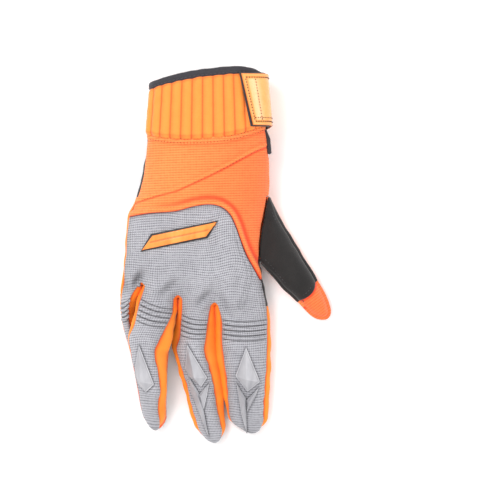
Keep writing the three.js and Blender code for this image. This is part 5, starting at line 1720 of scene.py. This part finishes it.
def sweptTube(name, centres, sides, ways, halfWide, halfHigh, node, closed, squareness=0.8):
    # A tape folded round an edge: an oval swept along centres, slightly uneven.
    bend = np.linspace(0, 2 * np.pi, bindings["round"])
    c, s = squared(np.cos(bend), squareness), squared(np.sin(bend), squareness)
    run = runAlong(centres)
    swell = 1 + 0.05 * wander(run[:, None], bend[None] * 2, 7, 90)
    if closed:
        swell[-1] = swell[0]
    toEnd = np.minimum(run, run[-1] - run)[:, None]
    pinch = 1.0 if closed else np.maximum(np.sin(np.pi * np.clip(toEnd / 2.4, 0, 0.5)) ** 0.5, 0.02)
    p = centres[:, None] + sides[:, None] * (halfWide * c[None] * swell * pinch)[..., None]
    p = p + ways[:, None] * (halfHigh * s[None] * swell * pinch)[..., None]
    # The tape has painted shade where it is sewn, beside both of its edges.
    sewn = bell(bend, 1.25 * np.pi, 0.16) + bell(bend, 1.75 * np.pi, 0.16)
    shade = np.broadcast_to(1 - 0.25 * sewn[None], p.shape[:2])
    cloth = clothPlace(run[:, None], bend[None] * halfHigh)
    index = np.arange(p.shape[0] * len(bend)).reshape(-1, len(bend))
    quads = gridQuads(index)
    flat = p.reshape(-1, 3)
    middle = np.repeat(centres, len(bend), axis=0)
    faceOut = np.cross(flat[quads[:, 1]] - flat[quads[:, 0]], flat[quads[:, 3]] - flat[quads[:, 0]])
    if (faceOut * (flat - middle)[quads[:, 0]]).sum() < 0:
        quads = quads[:, ::-1]
    shade, cloth = shade.ravel(), cloth.reshape(-1, 2)
    addMesh(name, flat, noTriangles, quads, "trim", [node], shade, cloth)


# The tapes: where along the hand the slit's tape starts and ends, and their stitches
bindings = dict(
    round=33,  # grid steps round the tape
    slitStart=0.885,
    slitEnd=1.075,
    cuffPitch=2.6,
    slitPitch=2.4,
)


def buildBindings():
    # Ovals carried round the cuff's edge and along the slit.
    turns = evenTurns(360)
    out = cuffOut(turns, 1.0)
    centres = cuffPoint(turns, 1.0, -cuffThickness / 2) + [0, bindingLength / 2 + 0.1, 0]
    ways = np.tile([0.0, 1.0, 0.0], (len(turns), 1))
    half = (bindingThickness / 2, bindingLength / 2 + 0.3)
    sweptTube("binding_cuff", centres, out, ways, *half, "cuff_binding", True, 0.75)
    q = cuffPoint(turns, 1.0, bindingThickness / 2 - cuffThickness / 2 - 0.12) + [0, 1.3, 0]
    stitch("threadBlack", q, out, bindings["cuffPitch"], 1.8, 0.5)
    y = np.linspace(bindings["slitStart"], bindings["slitEnd"], 90) * handLength
    x = handEdge(1, np.minimum(y, 0.98 * handLength))
    lean = 0.42 * np.maximum(0, y - 0.98 * handLength)
    centres = points(x + 0.9 - lean, y, handTop(x, np.minimum(y, handLength)) + pipingRadius + 0.2)
    sides, ways = np.tile([1.0, 0.0, 0.0], (len(y), 1)), np.tile(upright, (len(y), 1))
    half = (pipingRadius + 0.1, pipingRadius)
    sweptTube("binding_slit", centres, sides, ways, *half, "slit_binding", False)
    q = centres[4:-4] + [-0.2, 0, pipingRadius - 0.1]
    stitch("threadBlack", q, upright, bindings["slitPitch"], 1.5, 0.4)


# The closing strap: leather over a black backing, round the thumb side to the palm
strapSlant = 6
strap = dict(
    along=150,
    across=61,
    rolled=0.45,
    stitchIn=2.4,  # from the edge to the line of stitches
    stitchPitch=1.75,
    firstRow=1.8,  # rows across the strap, from its sewn end
    secondRow=8.2,
    stitchRise=-0.16,  # from the leather's face
    secondRise=0.13,
)
strapRoundEnd = 0.9


def strapPoint(along, across, margin, out):
    # The oval again: the turn by a column, and a width that rounds off as a root at the end.
    reach = np.minimum(1, (1 - along) / (1 - strapRoundEnd))
    narrow = np.sqrt(np.maximum(0.004, 1 - (1 - reach) ** 2.3))
    half = (column(strapRows, "width", along) * strapWidth / 2 + margin) * narrow
    y = handLength + column(strapRows, "centre", along) * cuffLength + across * half
    slant = across * strapSlant * (1 - ease(along, 0, 0.3))
    ends = margin / 0.7 * (0.3 * (1 - ease(along, 0, 0.02)) - 0.6 * ease(along, 0.98, 1.0))
    turn = np.radians(column(strapRows, "turn", along) + slant + ends)
    share = (y - cuffSeam(turn)) / (cuffEdge(turn) - cuffSeam(turn))
    return cuffPoint(turn, share, out)


def buildStrap():
    # Two sheets on that oval, the leather sunk by bells of the distance to its edge.
    backingOut = ribHeight + liftGap + backingThickness
    roundSteps = strapRoundEnd + 0.098 * np.sin(np.linspace(0, np.pi / 2, 26))[1:]
    along = np.concatenate([np.linspace(0, strapRoundEnd, strap["along"]), roundSteps])
    across = np.sin(np.linspace(-np.pi / 2, np.pi / 2, strap["across"]))
    leatherOut = backingOut + liftGap + strapThickness
    thick = backingThickness + 0.6
    sheets = [
        ("backing_strap", backingMargin, backingOut, thick, "trim", "trim_black", "strap_backing"),
        ("leather_strap", 0.0, leatherOut, strapThickness, "leather", "strap_leather", "strap_leather"),
    ]
    for name, margin, out, thickness, look, slot, node in sheets:
        p = strapPoint(along[:, None], across[None], margin, out)
        run = runAlong(p[:, strap["across"] // 2])
        toSide = (1 - np.abs(across))[None] * strapWidth / 2
        toEnd = np.minimum(run, run[-1] - run)[:, None]
        toEdge = np.minimum(toSide, toEnd)
        lift = np.zeros(p.shape[:2])
        shade = np.ones(p.shape[:2])
        if look == "leather":
            lift = -0.4 * bell(toEdge, 2.4, 0.55) - 0.18 * bell(toEdge, 4.4, 0.5)
            soft = wander(run[:, None], across[None] * 14, 26, 95)
            lift = lift + 0.14 * soft + 0.1 * ease(toEdge, 2.4, 6)
            # Painted highlight: a pale sheen between the stitch rows near the sewn end; painted shade in
            # the stitch groove and along the edge.
            sheen = bell(run[:, None], 6.2, 3.4) * ease(toSide, 1.5, 4.5) * ease(toEnd, 2.2, 3.4)
            shade = 1 + 0.2 * sheen - 0.16 * bell(toEdge, 2.4, 0.6) - 0.25 * bell(toEdge, 0, 0.45)
        cloth = clothPlace(across[None] * strapWidth / 2, run[:, None])
        skin = Skin().grid(p, lift, shade, cloth)
        skin.build(name, thickness, awayFromCuff, look, slot, [node], roll=strap["rolled"])
    inset, sunk = strap["stitchIn"] / (strapWidth / 2), strap["stitchRise"]
    lines = []
    for across in (1 - inset, inset - 1, 1.95 * inset - 1):
        lines.append((np.linspace(0.02, strapRoundEnd, 240), np.full(240, across), sunk))
    for start, rise in ((strap["firstRow"], sunk), (strap["secondRow"], strap["secondRise"])):
        lines.append((np.full(90, start / run[-1]), np.linspace(-0.82, 0.82, 90), rise))
    bend = np.linspace(-np.pi / 2, np.pi / 2, 140)
    endRow = np.clip(0.9 * np.sin(bend) * 1.05, -0.9, 0.9)
    lines.append((strapRoundEnd + 0.066 * np.cos(bend), endRow, sunk))
    for a, c, rise in lines:
        q = strapPoint(a, c, 0.0, leatherOut + rise)
        above = strapPoint(a, c, 0.0, leatherOut + 1)
        stitch("threadBrown", q, unit(above - q), strap["stitchPitch"], 0.8, 0.6, -0.05)


buildCuff()
buildBindings()
buildStrap()
print("cuff and strap built")


# Rubber pads: a polygon with a thin rim and flat facets that meet in one high point
def groundOf(name):
    # The finger's dome as a mesh that rays can hit.
    q = digits[name].top(np.linspace(0.1, 1, 120)[:, None], acrossSteps(40)[None])
    index = np.arange(q.size // 3).reshape(q.shape[:2])
    return BVHTree.FromPolygons(q.reshape(-1, 3).tolist(), gridQuads(index).tolist())


grounds = {name: groundOf(name) for name in ("ring", "middle", "index")}
pads = dict(
    sideSteps=24,  # grid steps along each side, and up a facet
    facetSteps=16,
    light=[0.75, 0.55],  # the way to the light in plan
    foot=-0.5,  # how deep the rim reaches into the cloth
    rimWide=0.95,
    steepness=1.25,
    # The rim's tones are painted shade in its groove, painted highlight on the rim and a painted shadow at
    # its foot.
    rimTones=[0.72, 1.12, 1.28, 1.2, 0.5],  # from the groove inside the rim to its foot
    facetTone=0.09,
    ridgeTone=0.1,
)


def buildPad(name, finger, rise, apex, x, y):
    # A share of the way from the high point to the outline, its height falling evenly with it.
    corners = np.stack([x, y], -1).astype(float)
    sideSteps, facetSteps = pads["sideSteps"], pads["facetSteps"]
    steps = np.linspace(0, 1, sideSteps + 1)[:-1]
    sides = [lerp(a, b, steps) for a, b in zip(corners, np.roll(corners, -1, 0))]
    outline = np.concatenate([*sides, corners[:1]])
    reach = np.linalg.norm(outline - apex, axis=1).mean()
    rim = 1 - pads["rimWide"] / reach
    rimShares = [rim + 0.2 * (1 - rim), 1 - 0.25 * (1 - rim), 1.0, 1.0]
    share = np.concatenate([np.linspace(0, rim, facetSteps), rimShares])
    top = padClearance + padRim
    height = top + pads["steepness"] * rise * np.clip(1 - share / rim, 0, 1)
    height[-4:] = [top + 0.02, top, top - 0.2, pads["foot"]]
    # Painted shade and highlight on the rim, from the rim's tones.
    shade = np.concatenate([np.ones(facetSteps - 1), pads["rimTones"]])
    p = np.array(apex) + share[:, None, None] * (outline - apex)[None]
    ground = grounds[finger]
    flat = [(px, py, 80) for px, py in p.reshape(-1, 2)]
    straight = [ground.ray_cast(start, (0, 0, -1))[0] for start in flat]
    hits = [hit or ground.find_nearest((*start[:2], 12))[0] for hit, start in zip(straight, flat)]
    z = np.array([hit[2] for hit in hits]).reshape(p.shape[:2])
    q = points(p[..., 0], p[..., 1], z + height[:, None])
    # The facets to the light are paler, and so are the ridges between them.
    facing = np.roll(corners, -1, 0) - corners
    facing = unit(np.stack([facing[:, 1], -facing[:, 0]], -1))
    facing = facing * np.sign(np.sum(facing * (corners - apex), -1, keepdims=True))
    facet = np.append(np.repeat(facing @ np.array(pads["light"]), sideSteps), 0)
    facet[-1] = facet[0]
    step = np.arange(len(outline)) % sideSteps
    ridgeLine = bell(np.minimum(step, sideSteps - step), 0, 0.9)
    inner = (share < rim)[:, None]
    lit = 1 + pads["facetTone"] * facet[None] + pads["ridgeTone"] * ridgeLine[None]
    tone = shade[:, None] * np.where(inner, lit, 1)
    skin = Skin().grid(q, 0.0, tone, p)
    skin.build(name + "_rubber", 0.4, up, "rubber", "pad_rubber", [name], smooth=False)


for name, shape in padShapes.items():
    buildPad(name, **shape)


# A plain slanted badge, two layers with rounded edges
badge = dict(
    acrossHand=-0.11,
    alongHand=0.385,
    lean=0.6,
    rise=0.2,
    channelDeep=0.4,
    bevel=0.55,
    faceMargin=2.0,
    baseClearance=0.1,
    faceClearance=1.3,
    faceThickness=1.3,
)


def badgeLayer(name, node, margin, clearance, thickness, look, slot):
    # The hand's height over a slanted grid, rounded at the edge by a quarter circle.
    along = np.linspace(-0.5, 0.5, 30)[:, None]
    across = np.linspace(-0.5, 0.5, 90)[None]
    long, wide = badgeLength - margin, badgeWidth - margin
    x = badge["acrossHand"] * handWidth + across * long - along * badgeWidth * badge["lean"]
    y = badge["alongHand"] * handLength - along * wide + across * badgeLength * badge["rise"]
    toEdge = np.minimum((0.5 - np.abs(along)) * wide, (0.5 - np.abs(across)) * long)
    bevel = badge["bevel"] * (1 - np.sqrt(1 - np.clip(1 - toEdge / 0.9, 0, 1) ** 2))
    channel = badge["channelDeep"] * bell(along, 0, 0.07) * ease(toEdge, 1.4, 2.2) * (margin > 0)
    p = points(x, y, handTop(x, y) + clearance + thickness - bevel - channel)
    # Painted shade in the channel and towards the rounded edge.
    shade = 1 - 0.35 * (channel > 0.1) - 0.12 * ease(0.5 - toEdge, 0, 0.5)
    Skin().grid(p, 0.0, shade).build(name, clearance + thickness + 0.2, up, look, slot, [node])


basePlace = (0.0, badge["baseClearance"], badgeThickness)
facePlace = (badge["faceMargin"], badge["faceClearance"], badge["faceThickness"])
badgeLayer("plate_base", "badge_base", *basePlace, "badgeRim", "badge_black")
badgeLayer("plate_face", "badge_face", *facePlace, "badge", "badge_orange")
buildStitches()
print("pads, badge and stitches built")


# Floor, light and camera
def paperLook():
    # White paper, very slightly uneven.
    look = Look("paper_floor")
    speck = look.grain(60, 2.0)
    colour = look.blend(look.span(speck, 0.3, 0.7), paint("#fdfdfd"), paint("#fbfbfc"))
    look.feed(look.shader.inputs["Base Color"], colour)
    look.feed(look.shader.inputs["Roughness"], 0.85)
    return look.material


bpy.ops.mesh.primitive_plane_add(size=6, location=(0, 0, -0.0002))
floor = bpy.context.object
floor.name = "floor"
floor.data.materials.append(paperLook())

world = bpy.data.worlds.new("studio")
bpy.context.scene.world = world
world.use_nodes = True
backdrop = world.node_tree.nodes["Background"]
backdrop.inputs[0].default_value = (1.0, 1.0, 1.0, 1.0)
backdrop.inputs[1].default_value = 1.0


def addLight(name, where, size, power):
    # A rectangular light that is turned to the origin.
    data = bpy.data.lights.new(name, "AREA")
    data.shape = "RECTANGLE"
    data.size, data.size_y = size
    data.energy = power
    light = bpy.data.objects.new(name, data)
    light.location = where
    light.rotation_euler = (Vector((0, 0, 0)) - Vector(where)).to_track_quat("-Z", "Y").to_euler()
    bpy.context.scene.collection.objects.link(light)


# Each light's place, its two widths and its power
lights = dict(
    key=[(-0.9, 0.7, 1.6), (0.8, 0.8), 18],
    bounce=[(-0.5, -1.1, 1.0), (1.2, 0.8), 4],
    fill=[(1.5, 0.2, 0.9), (0.9, 1.4), 8],
)
for name, (where, size, power) in lights.items():
    addLight(name, where, size, power)

cameraHeight = 2.4
cameraReach = 0.3125  # the width of the picture at the glove, in metres
gloveMiddle = 0.012  # the height that the reach is measured at
cameraData = bpy.data.cameras.new("camera")
cameraData.sensor_width = 36
cameraData.lens = cameraData.sensor_width * (cameraHeight - gloveMiddle) / cameraReach
cameraData.clip_end = 20
camera = bpy.data.objects.new("camera", cameraData)
camera.location = (0.0154, 0.00388, cameraHeight)
camera.rotation_euler = (0, 0, 0)
bpy.context.scene.collection.objects.link(camera)
bpy.context.scene.camera = camera
bpy.context.scene.view_settings.view_transform = "Standard"

print("scene ready")
